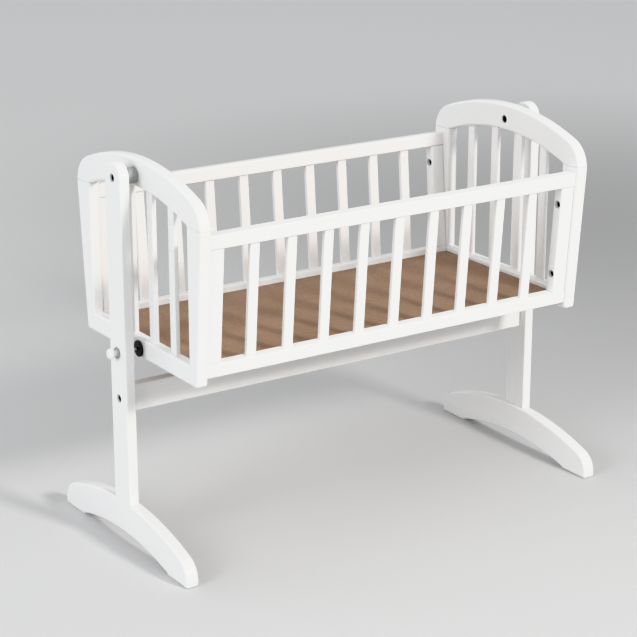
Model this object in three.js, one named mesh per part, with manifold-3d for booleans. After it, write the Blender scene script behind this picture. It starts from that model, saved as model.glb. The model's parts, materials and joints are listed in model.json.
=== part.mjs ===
// A baby crib that swings on its stand. A slatted crib box, made of two arched ends and two leaning
// sides, hangs on two pivot bolts between the uprights of a stand with arched feet. A pull knob on the
// left upright locks the crib still.
//
// Millimetres, +Z up. X runs along the crib, Y across it, and the front is at -Y. The floor is Z = 0.
// Sizes below are given in the crib's own frame, with X = 0 midway between the uprights. The last group
// shifts the whole object along X, so that the origin is under the middle of its bounding box.

import * as THREE from 'three';
import { mergeVertices } from 'three/addons/utils/BufferGeometryUtils.js';
import Module from 'manifold-3d';

const wasm = await Module();
wasm.setup();

// ---------------------------------------------------------------- driving dimensions

const GAP = 0.3; // clearance between pieces that touch

// The crib box holds a mattress of 900 x 400.
const INNER_LENGTH = 900;
const INNER_WIDTH = 400;
const BOARD_TOP = 430;
const BOARD_THICKNESS = 6;
const CLEAT = { length: 860, width: 12, height: 10 };

// Arched ends: two tapered stiles, a bottom rail, an arch rail on top and four slats.
const END = {
  thickness: 26,
  bottom: 400,
  railTop: 441,
  jointHeight: 720,
  archUnderside: 756,
  archTop: 814,
  archRadius: 600,
  cornerRadius: 63,
  halfWidthBottom: 230,
  halfWidthJoint: 256,
  footCornerRadius: 5,
  edgeRadius: 5,
  slatCount: 4,
};

// Leaning sides: a top and a bottom rail over the full length, two stiles between them and nine slats.
const SIDE = {
  thickness: 24,
  recess: 8, // how far the side's outer face lies inside the edge of the end
  bottom: 414,
  top: 708,
  bottomRailHeight: 28,
  topRailHeight: 29.5,
  stileWidth: 33,
  edgeRadius: 3,
  slatCount: 9,
  slatPitch: 86,
};

const SLAT = { width: 22, thickness: 10, edgeRadius: 2, insertion: 9 };

// Tenons. A tenon starts inside its own board, by its root, so that the two are one solid.
const TENON = { thickness: 10, root: 5 };
const ARCH_TENON = { inner: 212, outer: 238, length: 18 };
const RAIL_TENON = { bottom: 410, top: 431, length: 17 };
const SIDE_TENON = { halfWidth: 9, length: 13 };
const FOOT_TENON = { halfThickness: 6, halfWidth: 20, length: 40, root: 10 };

// Stand: two uprights on arched feet, joined by one low stretcher.
const UPRIGHT = { inner: 504, thickness: 22, halfWidth: 32, edgeRadius: 3 };
const PIVOT_HEIGHT = 780;
const FOOT = {
  thickness: 28,
  halfLength: 263,
  top: 96,
  topRadius: 690,
  noseHeight: 12,
  heelRadius: 5,
  padInner: 182,
  padStep: 3,
  archTop: 28,
  edgeRadius: 4,
};
const STRETCHER = { bottom: 292, top: 349, thickness: 24, edgeRadius: 3 };

// Hardware. A counterbore hides the head of every bolt. Shanks, heads and bores are given as radii.
const COUNTERBORE = { radius: 8.5, depth: 8 };
const SOCKET = { radius: 3, depth: 3 };
const HEAD_HEIGHT = 5;
const PIVOT_BOLT = { shank: 4, head: 6.5, nut: 7, nutHeight: 6, bore: 4.5, spacer: 17 };
const FRAME_BOLT = { shank: 3, head: 6, bore: 3.5, holeDepth: 42, reach: 40 };
const CORNER_BOLT_HEIGHTS = [483, 640];
const CORNER_BOLT_SEAT = 20; // depth of its hole in the end stile
const DOWEL = { radius: 4, length: 10, root: 5, offset: 17 };

// Lock: a knob and its pin slide through a bush in the left upright, into a receiver on the crib.
const LOCK = {
  height: 419,
  knobReach: 22, // from the upright's outer face to the end of the knob
  stem: 6,
  pin: 3,
  pinInKnob: 4,
  collar: 4.2,
  collarLength: 2,
  stroke: 10,
  stemInBush: 3,
  bush: 8,
  bushGuide: 6, // length of the narrow part of the bush, which guides the pin
  flange: 11.5,
  flangeThickness: 2.5,
  receiverRadius: 17,
  receiverThickness: 4,
  receiverHole: 3.8,
  endHoleRadius: 4,
  endHoleDepth: 12,
  tipClearance: 1.5,
};

// Outline of the knob's head: the distance back from its end, and the radius there.
const KNOB_OUTLINE = [
  [12, 6],
  [11, 7.5],
  [10, 10],
  [8, 11.5],
  [4, 11.5],
  [1.5, 9.5],
  [0.5, 6.5],
  [0, 3.5],
  [0, 0],
];

const EASE = 1; // small chamfer on turned metal and plastic
const OVERCUT = 1; // how far a cutting solid passes the face that it cuts
const BEYOND = 1000; // farther than any board reaches

// ---------------------------------------------------------------- dimensions worked out from them

const END_INNER = INNER_LENGTH / 2;
const END_OUTER = END_INNER + END.thickness;
const END_MIDDLE = END_INNER + END.thickness / 2;
const OPENING_HALF = INNER_WIDTH / 2;
const STAND_MIDDLE = UPRIGHT.inner + UPRIGHT.thickness / 2;

const LEAN_SLOPE = (END.halfWidthJoint - END.halfWidthBottom) / (END.jointHeight - END.bottom);
const LEAN = Math.atan(LEAN_SLOPE);

// Half width of an end at a height on its straight leaning edge.
const endHalfWidth = (z) => END.halfWidthBottom + (z - END.bottom) * LEAN_SLOPE;

// Height of the arch rail's underside at a distance y from the middle.
const UNDERSIDE_RADIUS = chordRadius(OPENING_HALF, END.archUnderside - END.jointHeight);
const undersideHeight = (y) =>
  END.archUnderside - UNDERSIDE_RADIUS + Math.sqrt(UNDERSIDE_RADIUS ** 2 - y ** 2);

const END_SLAT_GAP = (INNER_WIDTH - END.slatCount * SLAT.width) / (END.slatCount + 1);
const SIDE_MIDDLE_AT_BOTTOM = endHalfWidth(SIDE.bottom) - SIDE.recess - SIDE.thickness / 2;
const SIDE_HEIGHT = (SIDE.top - SIDE.bottom) / Math.cos(LEAN);
const SIDE_HALF_LENGTH = END_INNER - GAP;
const SIDE_STILE_X = SIDE_HALF_LENGTH - SIDE.stileWidth / 2;

// ---------------------------------------------------------------- helpers: outlines

// Radius of an arc from half its chord and its rise.
function chordRadius(halfChord, rise) {
  return (halfChord ** 2 + rise ** 2) / (2 * rise);
}

// Points along an arc, both ends included. Angles are in radians.
function arc(centreX, centreY, radius, start, end, steps) {
  const points = [];
  for (let i = 0; i <= steps; i += 1) {
    const angle = start + ((end - start) * i) / steps;
    points.push(new THREE.Vector2(centreX + radius * Math.cos(angle), centreY + radius * Math.sin(angle)));
  }
  return points;
}

// The right half of a symmetric outline, from the bottom up, followed by its mirror image.
function mirrored(half) {
  const mirror = half.map((p) => new THREE.Vector2(-p.x, p.y)).reverse();
  return half.concat(mirror).filter((p, i, all) => i === 0 || p.distanceTo(all[i - 1]) > 1e-6);
}

function roundedRectangle(width, height, radius, steps = 2) {
  const x = width / 2 - radius;
  const y = height / 2 - radius;
  const quarter = Math.PI / 2;
  const corners = [[x, y], [-x, y], [-x, -y], [x, -y]];
  return corners.flatMap(([cornerX, cornerY], turn) =>
    arc(cornerX, cornerY, radius, turn * quarter, (turn + 1) * quarter, steps));
}

// ---------------------------------------------------------------- helpers: solids

// A solid for cutting and joining, from a closed three.js geometry.
function toSolid(geometry) {
  const bare = new THREE.BufferGeometry();
  bare.setAttribute('position', geometry.getAttribute('position'));
  bare.setIndex(geometry.getIndex());
  const merged = mergeVertices(bare, 1e-4);
  const index = merged.getIndex().array;
  const triangles = [];
  for (let i = 0; i < index.length; i += 3) {
    const [a, b, c] = index.slice(i, i + 3);
    if (a !== b && b !== c && c !== a) triangles.push(a, b, c);
  }
  const vertProperties = new Float32Array(merged.getAttribute('position').array);
  const triVerts = new Uint32Array(triangles);
  return new wasm.Manifold(new wasm.Mesh({ numProp: 3, vertProperties, triVerts }));
}

function toGeometry(solid) {
  const { vertProperties, triVerts } = solid.getMesh();
  const geometry = new THREE.BufferGeometry();
  geometry.setAttribute('position', new THREE.BufferAttribute(vertProperties, 3));
  geometry.setIndex(new THREE.BufferAttribute(triVerts, 1));
  return geometry;
}

// Turns an outline's plane so that it lies in Y and Z, and its depth runs along X.
const OUTLINE_IN_YZ = new THREE.Matrix4().makeBasis(
  new THREE.Vector3(0, 1, 0),
  new THREE.Vector3(0, 0, 1),
  new THREE.Vector3(1, 0, 0),
);

// A plate with its outline in Y and Z, centred on X = 0, with rounded edges all round both faces.
function plate(outline, thickness, edgeRadius = 0, hole = null) {
  const shape = new THREE.Shape(outline);
  if (hole) shape.holes.push(new THREE.Path(hole));
  const geometry = new THREE.ExtrudeGeometry(shape, {
    depth: thickness - 2 * edgeRadius,
    bevelEnabled: edgeRadius > 0,
    bevelThickness: edgeRadius,
    bevelSize: edgeRadius,
    bevelOffset: -edgeRadius,
    bevelSegments: 2,
  });
  geometry.translate(0, 0, edgeRadius - thickness / 2);
  return toSolid(geometry.applyMatrix4(OUTLINE_IN_YZ));
}

// A bar along Z from a to b, with the given outline in X and Y.
function barAlongZ(outline, a, b) {
  const shape = new THREE.Shape(outline);
  const geometry = new THREE.ExtrudeGeometry(shape, { depth: b - a, bevelEnabled: false });
  return toSolid(geometry.translate(0, 0, a));
}

// A box from its lowest and highest corners.
function box(low, high) {
  const geometry = new THREE.BoxGeometry(high[0] - low[0], high[1] - low[1], high[2] - low[2]);
  geometry.translate((low[0] + high[0]) / 2, (low[1] + high[1]) / 2, (low[2] + high[2]) / 2);
  return toSolid(geometry);
}

// The same box, larger by the clearance on every side: the mortise for a tenon.
const mortise = (low, high) => box(low.map((v) => v - GAP), high.map((v) => v + GAP));

// A cylinder along X from a to b, at the given Y and Z.
function rod(radius, a, b, y, z, sides = 20) {
  const geometry = new THREE.CylinderGeometry(radius, radius, b - a, sides).rotateZ(-Math.PI / 2);
  return toSolid(geometry.translate((a + b) / 2, y, z));
}

// A turned piece about the X axis at height z, from its [x, radius] profile.
function turned(profile, z, sides = 24) {
  const points = profile.map(([x, radius]) => new THREE.Vector2(radius, x));
  const geometry = new THREE.LatheGeometry(points, sides).rotateZ(-Math.PI / 2);
  return toSolid(geometry.translate(0, 0, z));
}

const subtractAll = (solid, cuts) => cuts.reduce((rest, cut) => rest.subtract(cut), solid);
const addAll = (solid, additions) => additions.reduce((sum, piece) => sum.add(piece), solid);
const halfTurned = (solid) => solid.rotate([0, 0, 180]);

// ---------------------------------------------------------------- materials and nodes

const FINISHES = {
  whiteLacquer: { color: 0xf4f4f2, roughness: 0.42, metalness: 0 },
  fibreboard: { color: 0xa98a70, roughness: 0.8, metalness: 0 },
  blackSteel: { color: 0x2b2b2d, roughness: 0.45, metalness: 0.8 },
  zincSteel: { color: 0xa8abad, roughness: 0.4, metalness: 0.9 },
  blackPlastic: { color: 0x232325, roughness: 0.55, metalness: 0 },
  greyPlastic: { color: 0xa6a6a8, roughness: 0.55, metalness: 0 },
};

function node(name, solid, finish) {
  const mesh = new THREE.Mesh(toGeometry(solid), new THREE.MeshStandardMaterial(FINISHES[finish]));
  mesh.name = name;
  return mesh;
}

// ---------------------------------------------------------------- arched ends
// Built about X = 0 with +X outwards. The frame is shaped as one and then parted into its boards.

function endOutline() {
  const topCentre = END.archTop - END.archRadius;
  const reach = END.archRadius - END.cornerRadius;
  const offsetHalfWidth = END.halfWidthJoint - END.cornerRadius / Math.cos(LEAN);
  const rise = END.jointHeight - topCentre;
  const a = 1 + LEAN_SLOPE ** 2;
  const b = offsetHalfWidth * LEAN_SLOPE + rise;
  const c = offsetHalfWidth ** 2 + rise ** 2 - reach ** 2;
  const shift = (Math.sqrt(b ** 2 - a * c) - b) / a;
  const cornerY = offsetHalfWidth + shift * LEAN_SLOPE;
  const cornerZ = END.jointHeight + shift;
  const cornerEnd = Math.atan2(cornerZ - topCentre, cornerY);
  const foot = END.footCornerRadius;
  return mirrored([
    ...arc(END.halfWidthBottom - foot, END.bottom + foot, foot, -Math.PI / 2, -LEAN, 2),
    ...arc(cornerY, cornerZ, END.cornerRadius, -LEAN, cornerEnd, 7),
    ...arc(0, topCentre, END.archRadius, cornerEnd, Math.PI / 2, 7).slice(1),
  ]);
}

function endOpening() {
  const centre = END.archUnderside - UNDERSIDE_RADIUS;
  const start = Math.asin((END.jointHeight - centre) / UNDERSIDE_RADIUS);
  return mirrored([
    new THREE.Vector2(OPENING_HALF, END.railTop),
    ...arc(0, centre, UNDERSIDE_RADIUS, start, Math.PI / 2, 6),
  ]);
}

// Where a corner bolt crosses the side stile: distance from the middle, at a height.
const cornerBoltY = (z) => SIDE_MIDDLE_AT_BOTTOM + (z - SIDE.bottom) * LEAN_SLOPE;

function endSlatY(index) {
  return -OPENING_HALF + END_SLAT_GAP + SLAT.width / 2 + index * (END_SLAT_GAP + SLAT.width);
}

function endSlat(y) {
  const outline = roundedRectangle(SLAT.thickness, SLAT.width, SLAT.edgeRadius);
  const bottom = END.railTop - SLAT.insertion;
  return barAlongZ(outline, bottom, undersideHeight(y) + SLAT.insertion).translate([0, y, 0]);
}

// The mortise for a slat about [x, y], from height a to height b.
function slatPocket(width, thickness, [x, y], [a, b]) {
  const outline = roundedRectangle(width + 2 * GAP, thickness + 2 * GAP, SLAT.edgeRadius + GAP);
  return barAlongZ(outline, a, b).translate([x, y, 0]);
}

const endSlatPocket = (y, a, b) => slatPocket(SLAT.thickness, SLAT.width, [0, y], [a, b]);

// Lowest and highest corners of the tenon on top of the stile, and of the one at the rail's +Y end.
function endTenons() {
  const half = TENON.thickness / 2;
  const stileTop = END.jointHeight;
  return {
    arch: [
      [-half, ARCH_TENON.inner, stileTop - TENON.root],
      [half, ARCH_TENON.outer, stileTop + ARCH_TENON.length],
    ],
    rail: [
      [-half, OPENING_HALF - TENON.root, RAIL_TENON.bottom],
      [half, OPENING_HALF + RAIL_TENON.length, RAIL_TENON.top],
    ],
  };
}

function endArchRail(frame, slatYs) {
  const inner = -END.thickness / 2;
  const low = [-BEYOND, -BEYOND, END.jointHeight + GAP / 2];
  const blank = frame.intersect(box(low, [BEYOND, BEYOND, BEYOND]));
  const tenonHole = mortise(...endTenons().arch);
  const slatHoles = slatYs.map((y) =>
    endSlatPocket(y, END.jointHeight - OVERCUT, undersideHeight(y) + SLAT.insertion + GAP));
  return subtractAll(blank, [
    ...slatHoles,
    tenonHole,
    halfTurned(tenonHole),
    rod(PIVOT_BOLT.bore, -BEYOND, BEYOND, 0, PIVOT_HEIGHT),
    rod(COUNTERBORE.radius, inner - OVERCUT, inner + COUNTERBORE.depth, 0, PIVOT_HEIGHT),
  ]);
}

// The stile at +Y of the end's own frame. The other one is its mirror image.
function endStile(frame) {
  const inner = -END.thickness / 2;
  const low = [-BEYOND, OPENING_HALF + GAP / 2, 0];
  const blank = frame.intersect(box(low, [BEYOND, BEYOND, END.jointHeight - GAP / 2]));
  const boltSeats = CORNER_BOLT_HEIGHTS.map((z) =>
    rod(FRAME_BOLT.bore, inner - OVERCUT, inner + CORNER_BOLT_SEAT, cornerBoltY(z), z, 12));
  const { arch, rail } = endTenons();
  return subtractAll(blank.add(box(...arch)), [mortise(...rail), ...boltSeats]);
}

function endBottomRail(frame, slatYs, side) {
  const halfLength = OPENING_HALF - GAP / 2;
  const low = [-BEYOND, -halfLength, 0];
  const blank = frame.intersect(box(low, [BEYOND, halfLength, END.railTop + OVERCUT]));
  const tenon = box(...endTenons().rail);
  const holes = slatYs.map((y) =>
    endSlatPocket(y, END.railTop - SLAT.insertion - GAP, END.railTop + OVERCUT));
  if (side === 'left') {
    const outer = END.thickness / 2;
    holes.push(rod(LOCK.endHoleRadius, outer - LOCK.endHoleDepth, outer + OVERCUT, 0, LOCK.height));
  }
  return subtractAll(addAll(blank, [tenon, halfTurned(tenon)]), holes);
}

function endPieces(side) {
  const frame = plate(endOutline(), END.thickness, END.edgeRadius, endOpening());
  const slatYs = Array.from({ length: END.slatCount }, (_, index) => endSlatY(index));
  const stile = endStile(frame);
  // The left end is turned half round, so its own +Y is the front. Slats count from the front.
  const stileNames = side === 'left' ? ['front', 'back'] : ['back', 'front'];
  const pieces = [
    node(`${side}_end_arch_rail`, endArchRail(frame, slatYs), 'whiteLacquer'),
    node(`${side}_end_bottom_rail`, endBottomRail(frame, slatYs, side), 'whiteLacquer'),
    node(`${side}_end_${stileNames[0]}_stile`, stile, 'whiteLacquer'),
    node(`${side}_end_${stileNames[1]}_stile`, stile.mirror([0, 1, 0]), 'whiteLacquer'),
  ];
  slatYs.forEach((y, index) => {
    const number = side === 'left' ? END.slatCount - index : index + 1;
    pieces.push(node(`${side}_end_slat_${number}`, endSlat(y), 'whiteLacquer'));
  });
  return pieces;
}

// ---------------------------------------------------------------- leaning sides
// Built upright about Y = 0, from Z = 0 up, with -Y outwards. A group then leans each side.

function sideSlatXs() {
  const middle = (SIDE.slatCount - 1) / 2;
  return Array.from({ length: SIDE.slatCount }, (_, index) => (index - middle) * SIDE.slatPitch);
}

// Lowest and highest corners of a side stile's tenon, between two heights. The sign gives its end.
function sideTenon(sign, a, b) {
  const x = sign * SIDE_STILE_X;
  const half = TENON.thickness / 2;
  return [[x - SIDE_TENON.halfWidth, -half, a], [x + SIDE_TENON.halfWidth, half, b]];
}

// A rail from height a to b, with the slats' pockets between two heights of their own.
function sideRail([a, b], pocketSpan, tenons) {
  const outline = roundedRectangle(SIDE.thickness, b - a, SIDE.edgeRadius);
  const rail = plate(outline, 2 * SIDE_HALF_LENGTH).translate([0, 0, (a + b) / 2]);
  const pockets = sideSlatXs().map((x) => slatPocket(SLAT.width, SLAT.thickness, [x, 0], pocketSpan));
  return subtractAll(rail, [...pockets, ...tenons.map(([low, high]) => mortise(low, high))]);
}

function sideStile(sign, low, high, tenons) {
  const outline = roundedRectangle(SIDE.stileWidth, SIDE.thickness, SIDE.edgeRadius);
  const post = barAlongZ(outline, low + GAP, high - GAP).translate([sign * SIDE_STILE_X, 0, 0]);
  const face = SIDE_STILE_X - SIDE.stileWidth / 2;
  const span = (a, b) => (sign > 0 ? [a, b] : [-b, -a]);
  const holes = CORNER_BOLT_HEIGHTS.flatMap((height) => {
    const z = (height - SIDE.bottom) / Math.cos(LEAN);
    return [
      rod(FRAME_BOLT.bore, ...span(face - OVERCUT, SIDE_HALF_LENGTH + OVERCUT), 0, z, 12),
      rod(COUNTERBORE.radius, ...span(face - OVERCUT, face + COUNTERBORE.depth), 0, z),
    ];
  });
  return subtractAll(addAll(post, tenons.map(([a, b]) => box(a, b))), holes);
}

function sidePieces(side) {
  const low = SIDE.bottomRailHeight;
  const high = SIDE_HEIGHT - SIDE.topRailHeight;
  const ends = [-1, 1];
  const lowTenons = ends.map((sign) => sideTenon(sign, low - SIDE_TENON.length, low + TENON.root));
  const highTenons = ends.map((sign) => sideTenon(sign, high - TENON.root, high + SIDE_TENON.length));
  const insertion = SLAT.insertion + GAP;
  const bottomRail = sideRail([0, low], [low - insertion, low + OVERCUT], lowTenons);
  const topRail = sideRail([high, SIDE_HEIGHT], [high - OVERCUT, high + insertion], highTenons);
  const pieces = [
    node(`${side}_side_bottom_rail`, bottomRail, 'whiteLacquer'),
    node(`${side}_side_top_rail`, topRail, 'whiteLacquer'),
  ];
  // The back is turned half round, so its own -X end is the right one.
  const endNames = side === 'front' ? ['left', 'right'] : ['right', 'left'];
  ends.forEach((sign, index) => {
    const stile = sideStile(sign, low, high, [lowTenons[index], highTenons[index]]);
    pieces.push(node(`${side}_side_${endNames[index]}_stile`, stile, 'whiteLacquer'));
  });
  const slatOutline = roundedRectangle(SLAT.width, SLAT.thickness, SLAT.edgeRadius);
  const slat = barAlongZ(slatOutline, low - SLAT.insertion, high + SLAT.insertion);
  sideSlatXs().forEach((x, index) => {
    const number = side === 'front' ? index + 1 : SIDE.slatCount - index;
    pieces.push(node(`${side}_side_slat_${number}`, slat.translate([x, 0, 0]), 'whiteLacquer'));
  });
  return pieces;
}

// ---------------------------------------------------------------- base board and its cleats

function basePieces() {
  const boardBottom = BOARD_TOP - BOARD_THICKNESS;
  const boardHalf = endHalfWidth(boardBottom) - SIDE.recess - SIDE.thickness - 2 * GAP;
  const boardHalfLength = END_INNER - GAP;
  const board = box([-boardHalfLength, -boardHalf, boardBottom], [boardHalfLength, boardHalf, BOARD_TOP]);
  const cleatTop = boardBottom - GAP;
  const cleatOuter = endHalfWidth(SIDE.bottom) - SIDE.recess - SIDE.thickness - 2 * GAP;
  const cleat = box(
    [-CLEAT.length / 2, -cleatOuter, cleatTop - CLEAT.height],
    [CLEAT.length / 2, CLEAT.width - cleatOuter, cleatTop],
  );
  return [
    node('base_board', board, 'fibreboard'),
    node('front_base_cleat', cleat, 'whiteLacquer'),
    node('back_base_cleat', halfTurned(cleat), 'whiteLacquer'),
  ];
}

// ---------------------------------------------------------------- stand
// Uprights and feet are built about X = 0 of the upright's board, with +X outwards.

const FOOT_OFFSET = (UPRIGHT.thickness - FOOT.thickness) / 2; // the outer faces are flush

function footOutline() {
  const topCentre = FOOT.top - FOOT.topRadius;
  const rise = FOOT.noseHeight - topCentre;
  const slack = FOOT.topRadius - FOOT.halfLength;
  const noseRadius = (FOOT.topRadius ** 2 - rise ** 2 - FOOT.halfLength ** 2) / (2 * slack);
  const noseCentre = FOOT.halfLength - noseRadius;
  const noseEnd = Math.atan2(rise, noseCentre);
  const heel = FOOT.heelRadius;
  const archRadius = chordRadius(FOOT.padInner, FOOT.archTop - FOOT.padStep);
  const archCentre = FOOT.archTop - archRadius;
  const archStart = Math.atan2(FOOT.padStep - archCentre, FOOT.padInner);
  const over = [
    new THREE.Vector2(FOOT.padInner, 0),
    ...arc(FOOT.halfLength - heel, heel, heel, -Math.PI / 2, 0, 2),
    ...arc(noseCentre, FOOT.noseHeight, noseRadius, 0, noseEnd, 5),
    ...arc(0, topCentre, FOOT.topRadius, noseEnd, Math.PI / 2, 6).slice(1),
  ];
  const under = arc(0, archCentre, archRadius, Math.PI - archStart, archStart, 12);
  return [...mirrored(over), ...under];
}

// Everything below the curve on which the upright stands.
function belowFootTop() {
  const radius = FOOT.topRadius + GAP;
  const centre = FOOT.top - FOOT.topRadius;
  const edge = 1.5 * UPRIGHT.halfWidth;
  const start = Math.acos(edge / radius);
  const curve = arc(0, centre, radius, start, Math.PI - start, 4);
  return plate([...curve, new THREE.Vector2(-edge, 0), new THREE.Vector2(edge, 0)], 3 * UPRIGHT.thickness);
}

// Lowest and highest corners of the tenon under an upright.
function footTenon() {
  const { halfThickness, halfWidth, length, root } = FOOT_TENON;
  return [[-halfThickness, -halfWidth, FOOT.top - length], [halfThickness, halfWidth, FOOT.top + root]];
}

// The foot keeps its full thickness, without the rounding, where the upright stands on it.
function foot() {
  const rounded = plate(footOutline(), FOOT.thickness, FOOT.edgeRadius).translate([FOOT_OFFSET, 0, 0]);
  const square = plate(footOutline(), FOOT.thickness).translate([FOOT_OFFSET, 0, 0]);
  const half = UPRIGHT.thickness / 2;
  const seat = UPRIGHT.halfWidth - UPRIGHT.edgeRadius;
  const seatBlock = box([-half, -seat, FOOT.top / 2], [half, seat, FOOT.top + OVERCUT]);
  return rounded.add(square.intersect(seatBlock)).subtract(mortise(...footTenon()));
}

function upright(side) {
  const outline = mirrored([
    new THREE.Vector2(UPRIGHT.halfWidth, FOOT.top / 2),
    ...arc(0, PIVOT_HEIGHT, UPRIGHT.halfWidth, 0, Math.PI / 2, 6),
  ]);
  const outer = UPRIGHT.thickness / 2;
  const middle = stretcherMiddle();
  const through = [-outer - OVERCUT, outer + OVERCUT];
  const sunk = [outer - COUNTERBORE.depth, outer + OVERCUT];
  const dowelHole = [-outer - OVERCUT, DOWEL.length + GAP - outer];
  const cuts = [
    rod(PIVOT_BOLT.bore, ...through, 0, PIVOT_HEIGHT),
    rod(COUNTERBORE.radius, ...sunk, 0, PIVOT_HEIGHT),
    rod(FRAME_BOLT.bore, ...through, 0, middle, 12),
    rod(COUNTERBORE.radius, ...sunk, 0, middle),
    rod(DOWEL.radius + GAP, ...dowelHole, 0, middle - DOWEL.offset, 12),
    rod(DOWEL.radius + GAP, ...dowelHole, 0, middle + DOWEL.offset, 12),
  ];
  if (side === 'left') cuts.push(rod(LOCK.bush + GAP, ...through, 0, LOCK.height));
  const board = plate(outline, UPRIGHT.thickness, UPRIGHT.edgeRadius).subtract(belowFootTop());
  return subtractAll(board.add(box(...footTenon())), cuts);
}

function stretcherMiddle() {
  return (STRETCHER.bottom + STRETCHER.top) / 2;
}

// The stretcher's locating dowels are glued in, so they are one solid with it.
function stretcher() {
  const end = UPRIGHT.inner - GAP;
  const height = STRETCHER.top - STRETCHER.bottom;
  const outline = roundedRectangle(STRETCHER.thickness, height, STRETCHER.edgeRadius);
  const middle = stretcherMiddle();
  const bar = plate(outline, 2 * end).translate([0, 0, middle]);
  const dowels = [-1, 1].flatMap((sign) => {
    const z = middle + sign * DOWEL.offset;
    return [
      rod(DOWEL.radius, end - DOWEL.root, UPRIGHT.inner + DOWEL.length, 0, z, 12),
      rod(DOWEL.radius, -UPRIGHT.inner - DOWEL.length, DOWEL.root - end, 0, z, 12),
    ];
  });
  const boltHoles = [
    rod(FRAME_BOLT.bore, end - FRAME_BOLT.holeDepth, end + OVERCUT, 0, middle, 12),
    rod(FRAME_BOLT.bore, -end - OVERCUT, FRAME_BOLT.holeDepth - end, 0, middle, 12),
  ];
  return subtractAll(addAll(bar, dowels), boltHoles);
}

// ---------------------------------------------------------------- hardware
// Bolts and spacers are built about the upright's middle, with +X outwards.

const BOLT_SEAT = UPRIGHT.thickness / 2 - COUNTERBORE.depth + GAP;
const BOLT_HEAD_END = BOLT_SEAT + HEAD_HEIGHT;

// A bolt from its profile up to the shank's end at the head, with a hexagon socket in its head.
function socketBolt(shankProfile, shank, head, z, sides) {
  const profile = [
    ...shankProfile,
    [BOLT_SEAT, shank],
    [BOLT_SEAT, head],
    [BOLT_HEAD_END - EASE, head],
    [BOLT_HEAD_END, head - EASE],
    [BOLT_HEAD_END, 0],
  ];
  const hexagon = new THREE.CylinderGeometry(SOCKET.radius, SOCKET.radius, 2 * SOCKET.depth, 6);
  hexagon.rotateZ(-Math.PI / 2).translate(BOLT_HEAD_END, 0, z);
  return turned(profile, z, sides).subtract(toSolid(hexagon));
}

function pivotBolt() {
  const nutSeat = END_INNER + COUNTERBORE.depth - GAP - STAND_MIDDLE;
  const nutEnd = nutSeat - PIVOT_BOLT.nutHeight;
  const { shank, head, nut } = PIVOT_BOLT;
  const nutProfile = [
    [nutEnd, 0],
    [nutEnd, nut - EASE],
    [nutEnd + EASE, nut],
    [nutSeat, nut],
    [nutSeat, shank],
  ];
  return socketBolt(nutProfile, shank, head, PIVOT_HEIGHT, 24);
}

function pivotSpacer() {
  const a = END_OUTER + GAP - STAND_MIDDLE;
  const b = UPRIGHT.inner - GAP - STAND_MIDDLE;
  const { bore, spacer } = PIVOT_BOLT;
  return turned([[a, bore], [a, spacer], [b, spacer], [b, bore], [a, bore]], PIVOT_HEIGHT);
}

function stretcherBolt() {
  const tip = UPRIGHT.inner - FRAME_BOLT.reach - STAND_MIDDLE;
  const { shank, head } = FRAME_BOLT;
  const profile = [[tip, 0], [tip, shank - EASE], [tip + EASE, shank]];
  return socketBolt(profile, shank, head, stretcherMiddle(), 16);
}

function lockKnob() {
  const outer = UPRIGHT.thickness / 2;
  const end = outer + LOCK.knobReach;
  const pinEnd = lockPinEnd() + GAP;
  const stemStart = outer - LOCK.stemInBush;
  return turned([
    [stemStart, LOCK.pin + GAP],
    [stemStart, LOCK.stem],
    ...KNOB_OUTLINE.map(([back, radius]) => [end - back, radius]),
    [pinEnd, 0],
    [pinEnd, LOCK.pin + GAP],
    [stemStart, LOCK.pin + GAP],
  ], LOCK.height);
}

// Where the pin ends inside the knob, past the knob's neck.
function lockPinEnd() {
  const neckBack = KNOB_OUTLINE[1][0];
  return UPRIGHT.thickness / 2 + LOCK.knobReach - neckBack + LOCK.pinInKnob;
}

// The pin's collar stops it at the upright when the knob is pulled out by the stroke.
function lockPin() {
  const clearance = GAP + LOCK.tipClearance;
  const tip = END_OUTER + LOCK.receiverThickness + clearance - STAND_MIDDLE;
  const collarEnd = -UPRIGHT.thickness / 2 - LOCK.stroke - GAP;
  const collarStart = collarEnd - LOCK.collarLength;
  const { pin, collar } = LOCK;
  return turned([
    [tip, 0],
    [tip, pin - EASE],
    [tip + 1.5 * EASE, pin],
    [collarStart, pin],
    [collarStart, collar],
    [collarEnd, collar],
    [collarEnd, pin],
    [lockPinEnd(), pin],
    [lockPinEnd(), 0],
  ], LOCK.height, 16);
}

// The bush guides the pin in its narrow part, and the knob's stem further out.
function lockBush() {
  const outer = UPRIGHT.thickness / 2;
  const guideEnd = LOCK.bushGuide - outer;
  const flangeStart = outer + GAP;
  const flangeEnd = flangeStart + LOCK.flangeThickness;
  const { pin, stem, bush, flange } = LOCK;
  return turned([
    [-outer, pin + GAP],
    [-outer, bush],
    [flangeStart, bush],
    [flangeStart, flange],
    [flangeEnd - EASE, flange],
    [flangeEnd, flange - EASE],
    [flangeEnd, stem + GAP],
    [guideEnd, stem + GAP],
    [guideEnd, pin + GAP],
    [-outer, pin + GAP],
  ], LOCK.height);
}

function lockPieces() {
  return [
    node('lock_knob', lockKnob(), 'whiteLacquer'),
    node('lock_pin', lockPin(), 'zincSteel'),
    node('lock_bush', lockBush(), 'greyPlastic'),
  ];
}

// The receiver is a ring on the outer face of the left end, built about that end's middle.
function lockReceiver() {
  const a = END.thickness / 2 + GAP;
  const b = a + LOCK.receiverThickness;
  const { receiverHole: hole, receiverRadius: r } = LOCK;
  const profile = [[a, hole], [a, r], [b - EASE, r], [b, r - EASE], [b, hole], [a, hole]];
  return node('lock_receiver', turned(profile, LOCK.height, 32), 'blackPlastic');
}

// ---------------------------------------------------------------- assembly

function placed(pieces, x, turn) {
  const group = new THREE.Group();
  group.position.x = x;
  group.rotation.z = turn;
  group.add(...pieces);
  return group;
}

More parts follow.
